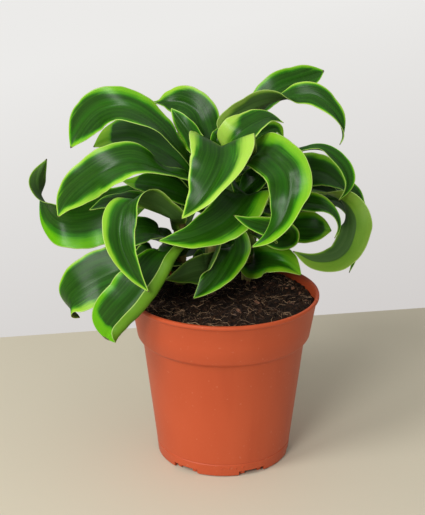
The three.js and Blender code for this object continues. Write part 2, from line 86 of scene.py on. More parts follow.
COARSE_CRUMBS = dict(name="peat_crumbs", count=420, seed=4, sizes=(0.8, 1.9))
CHIP_COUNT = 40
CHIP_SIZES = ((0.8, 2.2), (0.5, 1.2), (0.3, 0.5))
DENTS = 0.28
FIBRE_COUNT = 400
FIBRE_STEPS = 8
FIBRE_LENGTHS = (4, 15)
FIBRE_WIDTHS = (0.05, 0.14)
FIBRE_LIFTS = (0.2, 2.2)

# ---------------------------------------------------------------- canes and leaves
CANES = {
    "centre": dict(foot=(-9, 24, SOIL_LEVEL), tip=(-6, 19, 213), radius=4.6),
    "left": dict(foot=(-30, 27, SOIL_LEVEL), tip=(-30, 13, 168), radius=4.2),
    "right": dict(foot=(17, 36, SOIL_LEVEL), tip=(18, 37, 178), radius=4.2),
}
CANE_DEPTH = 30
CANE_SIDES = 28
SCAR_SPACING = 4.4
SCAR_STEPS = ((0.12, 1.05), (0.12, 0.952), (0.76, 1.0))    # share of a spacing, and swelling over it

LEAF_ROWS = 58            # places along a blade, from the cane to the tip
HALF_COLUMNS = 7          # places across half a blade, from the midrib to the margin
BLADE = 0.95              # thickness at the midrib
MARGIN_THICKNESS = 0.42   # share of that left at the margin
THINNING = 4              # a blade thins over this width, up to its margin
BASE_SHARE = 0.42         # share of its full width where it holds the cane
WIDEST_AT = 0.5
TIP_TAPER = 2.6
SHOULDER_TAPER = 0.12
TIP_WIDTH = 0.35
CLASP_GAP = 0.6
CLASP_LENGTH = 7
CLASP_FLARE = 1.6
WRAP_LENGTH = 16          # a leaf stays wrapped round its cane over this length
WRAP_MOST = 1.3           # radians round the cane, at most
PLAIN_FOLD = 12
FOLD_AT_MIDRIB = 1.35     # a leaf's fold is this much stronger there, and eases towards the margin
FOLD_EASING = 0.75
PLAIN_WAVE = 1.6
WAVE_SPACING = 34
RAGGEDNESS = 0.035        # share of its width by which a margin strays
RAGGED_SPACING = 9
BAND_STRAYING = 0.22      # share of its width by which a lime band strays
BAND_SPACING = 30
MIDRIB_GROOVE = 0.35
GROOVE_WIDTH = 1.1
LIVELY_FROM = 0.3         # waves grow up to this share of the blade,
CALM_FROM = 0.8           # and die down from this one
CALMING = 0.75
HEM_EASING = 0.12         # share of the blade over which a hem starts and ends
ROLL_EASING = 0.3         # share of half a blade over which it rolls
PLAIN_PALENESS = 0.12     # how creamy a lime band is where a leaf states nothing else
TIGHTEST_ROOM = 0.85      # share of a sideways bend's radius that a blade may fill on its inside
FINE_STEPS = 40           # steps between two drawn places
TURN_EASING = 18          # steps over which a change of turn is spread
ARCH_STEPS = 6
SEED_STRIDE = 11.3        # how far apart the patterns of two leaves are taken

# Leaves are drawn on a sheet that leans back through the middle of the rim and faces this place in
# front of the pot. A drawn place is right, up, towards the front, and turn: 0 shows the upper face
# to the front, 90 is edge-on and 180 shows the underside.
VIEWPOINT = np.array([-7.64, -773.75, 413.13])
SHEET_LEAN = math.radians(19.378)
SHEET_CENTRE = np.array([0.0, 0.0, POT_HEIGHT])
SHEET_UP = np.array([0.0, math.sin(SHEET_LEAN), math.cos(SHEET_LEAN)])
SHEET_FRONT = np.array([0.0, -math.cos(SHEET_LEAN), math.sin(SHEET_LEAN)])
VIEW_DISTANCE = float((VIEWPOINT - SHEET_CENTRE) @ SHEET_FRONT)

# margins: width of the lime band on the two sides; where one side has several widths, they follow each
# other from cane to tip. taper, widest: how bluntly the blade ends, and where it is at its broadest.
# end: how far along the blade its two lime bands meet. fold: how far its two halves stand up from the
# midrib. wave: how far its margins rise and fall. hems: sides that are rolled over, each as (side, where
# across it starts, angle, from, to along the blade). paleness: how creamy its lime bands are, up to 1;
# below 0 they are a deeper green.
DRAWN_LEAVES = [
    dict(name="leaf_top_left_arch", cane="centre", base=(186, 174), width=28, widest=0.6, taper=5, wave=1.8,
         margins=((1.4, 1.4, 1.6, 5, 5, 1.4, 2), (2.4, 2, 1.2, 1, 1, 2, 5)),
         stations=[(-24, 88, 22, 70), (-33, 99, 31, 68), (-43, 111, 34, 62), (-54, 119.5, 34, 50),
                   (-64, 124.5, 32, 38), (-75, 126, 28, 24), (-86, 122.5, 22, 14), (-94, 115, 18, 14),
                   (-99, 107, 15, 30), (-104.5, 97, 13, 50)]),
    dict(name="leaf_under_arch", cane="centre", base=(169, 157), width=38, fold=10, widest=0.42, taper=4.4,
         end=0.84, margins=(2, 1.2),
         stations=[(-24, 80, 6, 58), (-36, 92, 3, 42), (-50, 100, -2, 36), (-63, 104.5, -4, 34),
                   (-77, 103, -5, 42), (-89, 98, -4, 55)]),
    dict(name="leaf_left_broad", cane="centre", base=(176, 216), width=29, fold=10, widest=0.62, taper=3.4,
         paleness=0.35, margins=((1, 1, 1, 1.4, 3.4, 2, 1), (1, 2, 3, 4, 4.4, 2.4)),
         stations=[(-24, 77.5, 36, 78), (-36, 80, 43, 80), (-45, 83, 47, 70), (-54, 86.5, 49, 54),
                   (-63, 88, 50, 38), (-73, 86, 50, 26), (-83, 81.5, 48, 18), (-92, 75.5, 44, 8),
                   (-101, 68, 40, 8), (-108, 60, 36, 18), (-113, 50, 34, 35)]),
    dict(name="leaf_left_curled_end", cane="left", base=(160, 136), width=38, fold=8, widest=0.44, end=1.2,
         paleness=-0.6, margins=(1, (6, 8, 9, 10, 7, 1.5, 1)),
         stations=[(-46, 65, 1, 62), (-60, 61, -3, 42), (-74, 53, -8, 20), (-88, 48, -9, 6),
                   (-98, 46, -8, 2), (-108, 46.5, -6, -8), (-115.5, 50.5, -6, -42), (-121, 58, -5, -70),
                   (-125.5, 66, -3, -105), (-126.5, 76, -2, -150), (-120.5, 90, 0, -165)]),
    dict(name="leaf_front_left_hanging", cane="left", base=(156.5, 217), width=25, fold=14, paleness=0.3,
         margins=((2, 2, 3, 6, 5, 2.4, 1.6), (1.4, 2, 1.4, 1, 1, 1)),
         stations=[(-34, 49, 34, 128), (-44, 56.5, 43, 130), (-54, 61, 52, 124), (-62, 62, 59, 84),
                   (-68.5, 55, 63, 30), (-71, 43, 66, 12), (-70, 31.5, 66, 8), (-66, 21, 66, 8),
                   (-59.5, 9.5, 66, 8), (-51, -1, 64, 20)]),
    dict(name="leaf_lower_left_tucked", cane="left", base=(119.5, 186), width=38, fold=8, widest=0.62,
         taper=4, end=1.2, paleness=0.3, margins=((1, 1, 2.4, 1.4), (2, 3, 4, 6, 6, 1)),
         stations=[(-46, 20, 12, 60), (-60, 17.5, 8, 40), (-74, 13.5, 6, 26), (-87, 8, 2, 16),
                   (-98, 1, 0, 20), (-105, -6.5, -4, 55), (-103.5, -14, -8, 100), (-98, -18.5, -10, 130)]),
    dict(name="leaf_rim_folded", cane="left", base=(136.5, 255), width=39, fold=10, widest=0.7, taper=8,
         end=0.9, paleness=-0.5, margins=((1, 1.4, 3, 4), 9), hems=((1, 0.42, 158, 0.1, 1.0),),
         stations=[(-33, 27, 38, 60), (-42, 17, 45, 34), (-51, 5.5, 49, 16), (-60.5, -6, 48, 10),
                   (-70, -16, 46, 10), (-77, -25, 42, 20), (-80.5, -33, 38, 20)]),
    dict(name="leaf_front_saddle", cane="centre", base=(193, -101), width=47, fold=22, widest=0.3, wave=2.0,
         paleness=0.8, margins=((2, 8, 7, 2.4, 1.6, 1.6), (8, 10, 11, 8, 5, 3)),
         stations=[(-1.5, 94, 36, 180), (-1.5, 98.5, 48, 0), (-1.5, 90, 57, 6), (-5.5, 78, 63, 30),
                   (-12.5, 66, 66, 42), (-20, 57, 65, 44), (-29, 49, 60, 46)]),
    dict(name="leaf_top_broad", cane="centre", base=(207.5, 151), width=28, fold=14, widest=0.42,
         paleness=0.3, margins=((1, 1, 2, 4, 2), (3, 4, 4, 1.4, 1)),
         stations=[(-15, 112, -1.5, 24), (-19, 122, -5, 10), (-28.5, 128.5, -11, 6), (-37, 128.5, -14, 40),
                   (-45, 128, -15, 80), (-53, 130.5, -16, 120)]),
    dict(name="leaf_top_inner", cane="centre", base=(200, 192), width=15, fold=12, widest=0.42,
         margins=(1, (2.6, 2, 1)),
         stations=[(-19.5, 98, 16, 30), (-23, 106.5, 17, 15), (-28.5, 114.5, 17, 5), (-36, 124.5, 14, 0)]),
    dict(name="leaf_crown_spout", cane="centre", base=(200, -48), width=25, fold=12, widest=0.42,
         paleness=0.95, margins=(1, (12, 12, 10, 2, 1, 1)),
         stations=[(2, 97, 21, -20), (6, 103.5, 27, -18), (13, 109.5, 29, -28), (21, 114.5, 26, -44),
                   (31, 118, 21, -58), (41, 114.5, 17, -70)]),
    dict(name="leaf_upper_right_twist", cane="centre", base=(205.5, 14), width=22, fold=12, widest=0.34,
         taper=3.4, paleness=0.4, margins=((7, 6, 3, 1.4, 1.4, 1.2, 1), (1.4, 1.4, 1.4, 2, 1.6, 1.2)),
         stations=[(1, 111, 5, -150), (10, 118.5, 1, -150), (21, 124.5, -2, -146), (31, 128.5, -6, -124),
                   (39, 130.5, -9, -88), (49, 132.5, -9, -45), (61, 133.5, -6, -24), (73, 125, -2, -35),
                   (80, 114, 0, -60), (81.5, 105, 0, -100), (79, 99, 0, -130)]),
    dict(name="leaf_topmost", cane="centre", base=(211, 77), width=22, fold=10, widest=0.66, taper=6,
         wave=2.0, margins=(1, (1, 1, 2.4, 2.4)),
         stations=[(13.5, 114, -30, -50), (21, 122, -31, -40), (29, 131.5, -33, -30), (37.5, 139, -33, -22),
                   (48, 143, -35, -16), (58, 146, -36, -16), (68.5, 150, -37, -30)]),
    dict(name="leaf_small_dark", cane="centre", base=(195, 35), width=17, fold=12, margins=(1, 3),
         stations=[(12, 98.5, 0, -40), (20, 104, 1, -30), (29, 108.5, 0, -22), (36.5, 110.5, -2, -20),
                   (41, 104.5, -3, -30)]),
    dict(name="leaf_right_hook", cane="centre", base=(187, -20), width=33, fold=10, widest=0.44,
         paleness=0.15, margins=(0.8, (4, 7, 8, 7, 7, 6)),
         stations=[(12.5, 85.5, 6, -66), (21.5, 93, 23, -54), (30.5, 92.5, 47, -36), (39, 86, 54, -18),
                   (44, 79, 60, -2), (45.5, 69, 61, 6), (44, 59, 62, 28), (41, 50, 63, 38),
                   (36, 42, 62, 42), (29, 35, 58, 44), (18.5, 29.5, 54, 48)]),
    dict(name="leaf_right_arc", cane="centre", base=(181, 5), width=14, fold=14, widest=0.62,
         margins=(1, 1),
         stations=[(26, 84, 0, -60), (42, 91.5, 6, -70), (56, 96.5, 12, -80), (67, 96.5, 13, -74),
                   (76, 91, 13, -52), (83, 83, 13, -36), (85.5, 75, 13, -30), (83.5, 68, 14, -45),
                   (78, 61, 14, -70)]),
    dict(name="leaf_behind_arc", cane="centre", base=(169, 28), width=27, fold=10, widest=0.58, taper=3.6,
         margins=(1, (1, 2, 4, 4, 1)),
         stations=[(26, 74, -6, -55), (44, 80, -8, -40), (58, 82, -8, -30), (69, 80, -9, -30),
                   (78, 74, -11, -42), (84, 67, -12, -60)]),
    dict(name="leaf_right_sweep", cane="right", base=(169, 0), width=23, fold=10, widest=0.56,
         margins=((3, 6, 10, 13, 13, 12, 9), (1, 1, 1, 1.4, 1.4)),
         stations=[(38, 68, -14, -55), (52, 70, -12, -50), (64, 69, -8, -54), (74, 65.5, -3, -84),
                   (83, 60, 3, -124), (88.5, 51, 9, -152), (89, 42, 14, -165), (86, 32, 18, -170),
                   (80.5, 24.5, 23, -172), (72, 20.5, 28, -175), (60, 20.5, 32, -175), (47, 27, 36, -165)]),
    dict(name="leaf_right_narrow", cane="right", base=(158, -45), width=15, fold=12,
         margins=(1, (1, 2, 2.4, 1)),
         stations=[(36, 56, 8, -50), (50, 60, 18, -30), (61, 59.5, 26, -24), (70, 57, 30, -42),
                   (76.5, 50.5, 32, -62), (78.5, 43, 32, -68), (75.5, 35.5, 32, -70)]),
    dict(name="leaf_right_round", cane="right", base=(153, -8), width=24, fold=10, widest=0.6, taper=4.6,
         end=0.9, margins=((1, 1, 2, 4), (4, 4.4, 3)),
         stations=[(34, 42, -16, -48), (46, 42.5, -10, -26), (58, 42.5, -4, -18), (66.5, 42, -1, -18),
                   (73.5, 41, 0, -26)]),
    dict(name="leaf_returning_tip", cane="right", base=(140, -62), width=19, fold=10,
         margins=((1, 1, 2, 1), 1),
         stations=[(34, 36, 10, -60), (43, 38, 26, -10), (37, 41, 42, 20), (27, 44, 52, 12),
                   (16, 47, 57, 8), (6.5, 51.5, 58, 10)]),
    dict(name="leaf_low_saddle", cane="centre", base=(158, -72), width=34, fold=14, widest=0.38,
         margins=((1, 1, 1, 1), (7, 9, 7, 4, 2)),
         stations=[(12, 64, 24, 178), (17, 65.5, 35, 24), (11, 58, 42, 12), (2.5, 49, 46, 10),
                   (-9, 41.5, 48, 14), (-21, 36.5, 53, 24), (-33, 34.5, 55, 32), (-45, 34, 55, 40)]),
    dict(name="leaf_over_soil", cane="right", base=(131, -110), width=31, fold=12, widest=0.36,
         margins=(1, (2, 4, 3, 1.4)), hems=((-1, 0.5, 140, 0.3, 0.86),),
         stations=[(8, 33, -4, 160), (4, 26.5, 12, 18), (-0.5, 18, 19, 8), (-6, 9.5, 23, 14),
                   (-12.5, 2, 25, 20), (-21, -5.5, 26, 30)]),
    dict(name="leaf_soil_right", cane="right", base=(119, -72), width=28, fold=12, widest=0.4,
         margins=(5, 8),
         stations=[(21, 20, -14, -20), (31, 21.5, -7, -20), (42.5, 18.5, 0, -28), (53, 10.5, 5, -40)]),
    dict(name="leaf_under_broad", cane="centre", base=(160, 178), width=26, fold=10, end=0.84,
         margins=(1, 1.4),
         stations=[(-24, 64, 10, 55), (-38, 70, 12, 42), (-50, 72.5, 10, 42), (-61, 73.5, 8, 48),
                   (-69.5, 75, 6, 56)]),
    dict(name="leaf_left_rear", cane="left", base=(164.5, 175), width=18, fold=10, margins=(1, 1),
         stations=[(-42, 57.5, 20, 72), (-54, 60, 26, 56), (-66, 61.5, 26, 46), (-80, 60, 18, 46),
                   (-92, 55, 11, 50)]),
    dict(name="leaf_left_shadow", cane="left", base=(143, 222), width=27, fold=10, margins=(1, 1),
         stations=[(-40, 37, 20, 88), (-51, 39.5, 22, 50), (-62, 39, 21, 38), (-74, 35, 18, 45),
                   (-81, 29, 16, 50)]),
    dict(name="leaf_behind_folded", cane="left", base=(126.5, 223), width=28, fold=10, margins=(1, 1),
         stations=[(-40, 19.5, 20, 88), (-48, 23, 32, 38), (-55, 19, 34, 15), (-61, 7, 33, 16)]),
    dict(name="leaf_behind_saddle", cane="centre", base=(167, -45), width=20, fold=10, margins=(1, 1),
         stations=[(14, 68, 9, -55), (22, 76, 11, -35), (29, 83, 10, -25), (33, 91, 9, -20)]),
    dict(name="leaf_left_low_olive", cane="centre", base=(128, 222), width=23, fold=10, widest=0.4,
         margins=(1.4, 1.2),
         stations=[(-12, 15, 14, 150), (-20, 13.5, 22, 152), (-30, 10, 28, 150), (-40, 7.5, 31, 140)]),
    dict(name="leaf_right_far", cane="right", base=(162, 32), width=18, fold=10, taper=3.6,
         margins=(1, 1.4),
         stations=[(40, 64, -30, -50), (60, 70, -30, -42), (78, 71, -27, -36), (89, 67, -24, -36),
                   (96.5, 58.5, -22, -50)]),
    dict(name="leaf_right_low", cane="right", base=(138, 20), width=15, fold=10, margins=(1, 1),
         stations=[(42, 46, -29, -55), (62, 60, -36, -45), (78, 61, -36, -45), (88, 50, -32, -50),
                   (91, 36, -25, -60), (89, 22, -19, -60), (85.5, 12, -15, -60)]),
    dict(name="leaf_right_back_low", cane="right", base=(127, 165), width=29, fold=10, widest=0.4,
         margins=(1, 1),
         stations=[(6, 31, -28, 45), (-7, 33.5, -35, 38), (-18, 30.5, -38, 38), (-33, 22, -38, 45)]),
]

# The leaves behind rise and droop in a plain arch. reach: its length. rise, droop: the slope at its two
# ends. drift: how far it strays round the cane. twist: how far its tip is turned.
ARCHED_LEAVES = [
    dict(name="leaf_centre_back", cane="centre", base=(192, 93), width=27, margins=(4, 6), reach=105,
         rise=34, droop=-60, drift=10, twist=30),
    dict(name="leaf_centre_back_left", cane="centre", base=(181, 110), width=26, margins=(3, 7), reach=112,
         rise=38, droop=-60, drift=5, twist=-40),
    dict(name="leaf_centre_back_right", cane="centre", base=(186, 60), width=26, margins=(6, 3), reach=105,
         rise=28, droop=-65, drift=-8, twist=40),
    dict(name="leaf_centre_low_back", cane="centre", base=(156, 102), width=26, margins=(3, 4), reach=105,
         rise=42, droop=-75, drift=0, twist=30),
    dict(name="leaf_left_back", cane="left", base=(143, 84), width=24, margins=(4, 3), reach=92, rise=30,
         droop=-60, drift=10, twist=30),
    dict(name="leaf_left_back_low", cane="left", base=(134, 130), width=28, margins=(8, 2.5), reach=90,
         rise=5, droop=-55, drift=5, twist=-30),
    dict(name="leaf_right_back", cane="right", base=(156, 92), width=26, margins=(3, 5), reach=100, rise=45,
         droop=-70, drift=-8, twist=30),
    dict(name="leaf_right_back_right", cane="right", base=(146, 66), width=26, margins=(7, 3), reach=100,
         rise=30, droop=-65, drift=-10, twist=30),
]


# ---------------------------------------------------------------- setting out a leaf
def smooth(x):
    t = np.clip(x, 0, 1)
    return t * t * (3 - 2 * t)


def radial(degrees):
    return np.array([math.cos(math.radians(degrees)), math.sin(math.radians(degrees)), 0.0])


def unit(vectors):
    return vectors / np.linalg.norm(vectors, axis=-1, keepdims=True)


def square_to(vectors, tangents):
    along = np.sum(vectors * tangents, axis=-1, keepdims=True)
    return unit(vectors - along * tangents)


def turned(vectors, axes, angles):
    """Vectors square to unit axes, turned about them."""
    c, s = np.cos(angles), np.sin(angles)
    return vectors * c[..., None] + np.cross(axes, vectors) * s[..., None]


def cane_point(cane, height):
    foot, tip = np.array(cane["foot"], float), np.array(cane["tip"], float)
    return foot + (tip - foot) * (height - foot[2]) / (tip[2] - foot[2])


def on_sheet(right, up, toward):
    point = SHEET_CENTRE + SHEET_UP * up + np.array([right, 0.0, 0.0])
    return point + (VIEWPOINT - point) * toward / VIEW_DISTANCE


def clasp(leaf):
    """The two places where a leaf holds its cane, and the way its upper face looks there."""
    cane = CANES[leaf["cane"]]
    height, direction = leaf["base"]
    out = radial(direction)
    stand = cane["radius"] + CLASP_GAP
    low = cane_point(cane, height) + out * stand
    high = cane_point(cane, height + CLASP_LENGTH) + out * (stand + CLASP_FLARE)
    return [low, high], -out


def line_through(points):
    """A smooth line through the drawn places, with fine steps between each two."""
    ends = [2 * points[0] - points[1], *points, 2 * points[-1] - points[-2]]
    line = []
    for p0, p1, p2, p3 in zip(ends, ends[1:], ends[2:], ends[3:]):
        d0, d1, d2 = (np.linalg.norm(b - a) ** 0.5 for a, b in ((p0, p1), (p1, p2), (p2, p3)))
        m1 = ((p1 - p0) / d0 - (p2 - p0) / (d0 + d1) + (p2 - p1) / d1) * d1
        m2 = ((p2 - p1) / d1 - (p3 - p1) / (d1 + d2) + (p3 - p2) / d2) * d1
        for step in range(FINE_STEPS):
            t = step / FINE_STEPS
            line.append(p1 + m1 * t + (3 * (p2 - p1) - 2 * m1 - m2) * t ** 2
                        + (2 * (p1 - p2) + m1 + m2) * t ** 3)
    line.append(points[-1])
    return np.array(line)


def drawn_places(leaf):
    points, face = clasp(leaf)
    points += [on_sheet(right, up, toward) for right, up, toward, turn in leaf["stations"]]
    line = line_through(points)
    tangents = unit(np.gradient(line, axis=0))[::FINE_STEPS]
    faces = [square_to(face, tangents[0]), square_to(face, tangents[1])]
    for point, tangent, (*place, turn) in zip(points[2:], tangents[2:], leaf["stations"]):
        to_front = square_to(VIEWPOINT - point, tangent)
        faces.append(turned(to_front, tangent, np.array(math.radians(turn))))
    return line, faces


def arched_places(leaf):
    points, face = clasp(leaf)
    faces = [face, face]
    point = points[1]
    for step in range(1, ARCH_STEPS + 1):
        along = (step - 0.5) / ARCH_STEPS
        slope = math.radians(leaf["rise"] + (leaf["droop"] - leaf["rise"]) * smooth(along * 0.9))
        out = radial(leaf["base"][1] + leaf["drift"] * along)
        up = np.array([0.0, 0.0, 1.0])
        tangent = out * math.cos(slope) + up * math.sin(slope)
        point = point + tangent * leaf["reach"] / ARCH_STEPS
        points.append(point)
        twist = np.array(math.radians(leaf["twist"] * along * along))
        faces.append(turned(up * math.cos(slope) - out * math.sin(slope), tangent, twist))
    return line_through(points), faces


def evened(values, reach):
    """A row of values with its corners rounded off over a number of places each way."""
    padded = np.concatenate([np.full(reach, values[0]), values, np.full(reach, values[-1])])
    weights = np.hanning(2 * reach + 3)[1:-1]
    return np.convolve(padded, weights / weights.sum(), mode="valid")


def midrib(leaf):
    """Evenly spaced places along a leaf: point, tangent, upper face, side, and the whole length."""
    line, faces = drawn_places(leaf) if "stations" in leaf else arched_places(leaf)
    tangents = unit(np.gradient(line, axis=0))
    carried = [square_to(faces[0], tangents[0])]
    for tangent in tangents[1:]:
        carried.append(square_to(carried[-1], tangent))
    carried = np.array(carried)
    spins = []
    for k, face in enumerate(faces):
        tangent, start = tangents[k * FINE_STEPS], carried[k * FINE_STEPS]
        aim = square_to(face, tangent)
        spins.append(math.atan2(np.cross(start, aim) @ tangent, start @ aim))
    spins = np.unwrap(spins)
    fine = np.interp(np.arange(len(line)) / FINE_STEPS, np.arange(len(spins)), spins)
    fine = evened(fine, TURN_EASING)
    face_line = turned(carried, tangents, fine)
    run = np.concatenate([[0], np.cumsum(np.linalg.norm(np.diff(line, axis=0), axis=1))])
    even = np.linspace(0, run[-1], LEAF_ROWS + 1)

    def spread(values):
        return np.stack([np.interp(even, run, values[:, axis]) for axis in range(3)], axis=1)

    tangent = unit(spread(tangents))
    face = square_to(spread(face_line), tangent)
    return spread(line), tangent, face, np.cross(face, tangent), run[-1]


def outline(along, widest, taper):
    """Share of the full width along a blade."""
    past = np.clip((along - widest) / (1 - widest), 0, 1)
    swelling = BASE_SHARE + (1 - BASE_SHARE) * smooth(along / widest)
    return np.where(along < widest, swelling, (1 - past ** taper) * (1 - SHOULDER_TAPER * past))


def ripple(run, length, seed, spacing):
    """A slow, uneven wave along a margin, the sum of four that fit the leaf's length differently."""
    chance = random.Random(seed)
    total = np.zeros_like(run)
    for k in range(4):
        waves = length / spacing * (0.55 + 0.4 * k) * chance.uniform(0.85, 1.15)
        total += np.sin(run * waves * 2 * math.pi + chance.uniform(0, 2 * math.pi)) / (1 + 0.6 * k)
    return total / 2


def blade(leaf, seed):
    """Where each place of a leaf's grid goes, row by row, with the facts that its finish follows. Each
    half is set out from the midrib to its margin, step by step, at the angle that the blade has there."""
    point, tangent, face, side, length = midrib(leaf)
    run = np.linspace(0, 1, LEAF_ROWS + 1)
    share_of_width = outline(run, leaf.get("widest", WIDEST_AT), leaf.get("taper", TIP_TAPER))
    half = np.maximum(leaf["width"] * share_of_width, TIP_WIDTH) / 2
    bend = np.gradient(tangent, run * length, axis=0)
    inward = np.sum(bend * side, axis=1)
    fold = math.radians(leaf.get("fold", PLAIN_FOLD))
    wrapped = (1 - smooth(run * length / WRAP_LENGTH))[:, None]
    cane = CANES[leaf["cane"]]["radius"] + CLASP_GAP
    wave = leaf.get("wave", PLAIN_WAVE)
    calming = CALMING * smooth((run - CALM_FROM) / (1 - CALM_FROM))
    lively = smooth(run / LIVELY_FROM) * (1 - calming)
    share = np.linspace(0, 1, HALF_COLUMNS + 1)[None, :]
    places, across, margins = {}, {}, {}
    for number, sign in enumerate((-1, 1)):
        room = np.where(sign * inward > 0, TIGHTEST_ROOM / np.maximum(np.abs(inward), 1e-6), 1e6)
        ragged = half * (1 + RAGGEDNESS * ripple(run, length, seed * 7 + number, RAGGED_SPACING) * lively)
        reach = evened(np.minimum(ragged, room), 3) if (room < half).any() else ragged
        reach = np.minimum(reach, ragged)[:, None]
        angle = fold * (FOLD_AT_MIDRIB - FOLD_EASING * share) * (1 - wrapped)
        angle = angle + wrapped * np.minimum(reach * share / cane, WRAP_MOST)
        for hem_side, start, roll, first, last in leaf.get("hems", ()):
            if hem_side == sign:
                there = smooth((run - first) / HEM_EASING) * smooth((last - run) / HEM_EASING)
                rolled = smooth((share - start) / ROLL_EASING)
                angle = angle + math.radians(roll) * there[:, None] * rolled
        middle = (angle[:, 1:] + angle[:, :-1]) / 2
        midrib_line = np.zeros((len(run), 1))
        flat, rise = (np.concatenate([midrib_line, np.cumsum(part * reach / HALF_COLUMNS, 1)], 1)
                      for part in (np.cos(middle), np.sin(middle)))
        ruffle = ripple(run, length, seed * 7 + 3 + number, WAVE_SPACING) * lively * wave
        rise = rise + ruffle[:, None] * share ** 2.2 * np.minimum(half / 8, 1)[:, None]
        groove = MIDRIB_GROOVE * np.exp(-(share * reach / GROOVE_WIDTH) ** 2)
        rise = rise - groove * np.minimum(half / 6, 1)[:, None]
        places[sign] = (point[:, None, :] + sign * flat[:, :, None] * side[:, None, :]
                        + rise[:, :, None] * face[:, None, :])
        across[sign] = sign * reach * share
        drawn = np.atleast_1d(leaf["margins"][number])
        band = np.interp(run, np.linspace(0, 1, len(drawn)), drawn)
        band = band * (1 + BAND_STRAYING * ripple(run, length, seed * 7 + 5 + number, BAND_SPACING))
        band = band + 2 * half * smooth((run - leaf.get("end", 1.1)) / 0.08)
        margins[sign] = band[:, None] + 0 * share

    def joined(parts):
        return np.concatenate([parts[-1][:, :0:-1], parts[1]], axis=1)

    s = joined(across)
    edge = np.concatenate([np.repeat(np.abs(across[-1][:, -1:]), HALF_COLUMNS, 1),
                           np.repeat(np.abs(across[1][:, -1:]), HALF_COLUMNS + 1, 1)], 1) - np.abs(s)
    return joined(places), s, edge, joined(margins), run, length


# ---------------------------------------------------------------- finishes
def paint(red, green, blue):
    """A paint-chart colour of 0 to 255 as a shader colour."""
    def linear(c):
        c /= 255
        return c / 12.92 if c <= 0.04045 else ((c + 0.055) / 1.055) ** 2.4
    return linear(red), linear(green), linear(blue), 1.0


class Value:
    """A shader value. Sums written with it become nodes."""

    def __init__(self, nodes, socket):
        self.nodes, self.socket = nodes, socket

    def joined(self, operation, first, second):
        return self.nodes.node("ShaderNodeMath", {"operation": operation}, {0: first, 1: second})

    def __add__(self, other):
        return self.joined("ADD", self, other)

    def __radd__(self, other):
        return self.joined("ADD", other, self)

    def __sub__(self, other):
        return self.joined("SUBTRACT", self, other)

    def __rsub__(self, other):
        return self.joined("SUBTRACT", other, self)

    def __mul__(self, other):
        return self.joined("MULTIPLY", self, other)

    def __rmul__(self, other):
        return self.joined("MULTIPLY", other, self)

    def __truediv__(self, other):
        return self.joined("DIVIDE", self, other)

    def __rtruediv__(self, other):
        return self.joined("DIVIDE", other, self)

    def step(self, low, high):
        """0 up to low, 1 from high on, and a soft step between them. high may be the lower one."""
        return self.nodes.node("ShaderNodeMapRange", {"interpolation_type": "SMOOTHSTEP"},
                               {"Value": self, "From Min": low, "From Max": high})

    def most(self, other):
        return self.joined("MAXIMUM", self, other)


class Nodes:
    """The nodes of a material or of the air, made one at a time. Each gives one of its outputs."""

    def __init__(self, tree):
        self.made, self.links = tree.nodes, tree.links

    def node(self, kind, settings=None, sockets=None, output=0):
        node = self.made.new(kind)
        for name, value in (settings or {}).items():
            if name == "stops":
                ramp = node.color_ramp.elements
                while len(ramp) < len(value):
                    ramp.new(0.5)
                for element, (place, colour) in zip(ramp, value):
                    element.position, element.color = place, colour
            else:
                setattr(node, name, value)
        for name, value in (sockets or {}).items():
            if isinstance(value, Value):
                self.links.new(value.socket, node.inputs[name])
            else:
                node.inputs[name].default_value = value
        return Value(self, node.outputs[output])


class Finish(Nodes):
    """A material with one surface shader, and the nodes that vary it."""

    def __init__(self, name, constants=None):
        self.material = bpy.data.materials.new(name)
        self.material.use_nodes = True
        super().__init__(self.material.node_tree)
        self.shader = self.made["Principled BSDF"]
        for socket, value in (constants or {}).items():
            self.shader.inputs[socket].default_value = value

    def place(self):
        return self.node("ShaderNodeTexCoord", output="Object")

    def fact(self, name):
        return self.node("ShaderNodeAttribute", {"attribute_name": name}, output="Fac")

    def vector(self, x, y, z):
        return self.node("ShaderNodeCombineXYZ", sockets={"X": x, "Y": y, "Z": z})

    def scaled(self, vector, factor):
        return self.node("ShaderNodeVectorMath", {"operation": "MULTIPLY"}, {0: vector, 1: factor})

    def noise(self, vector, scale=1.0, detail=3.0, rough=0.5):
        return self.node("ShaderNodeTexNoise", None,
                         {"Vector": vector, "Scale": scale, "Detail": detail, "Roughness": rough})

    def blend(self, factor, first, second):
        """The first colour, with the second laid over it by a factor of 0 to 1."""
        return self.node("ShaderNodeMix", {"data_type": "RGBA"}, {0: factor, 6: first, 7: second}, output=2)

    def bump(self, height, distance, strength):
        return self.node("ShaderNodeBump", None,
                         {"Height": height, "Distance": distance, "Strength": strength})

    def wear(self, **sockets):
        """Links values to the shader's sockets and returns the material."""
        for name, value in sockets.items():
            self.links.new(value.socket, self.shader.inputs[name.replace("_", " ").title()])
        return self.material


DRY_TIP = paint(84, 78, 52)


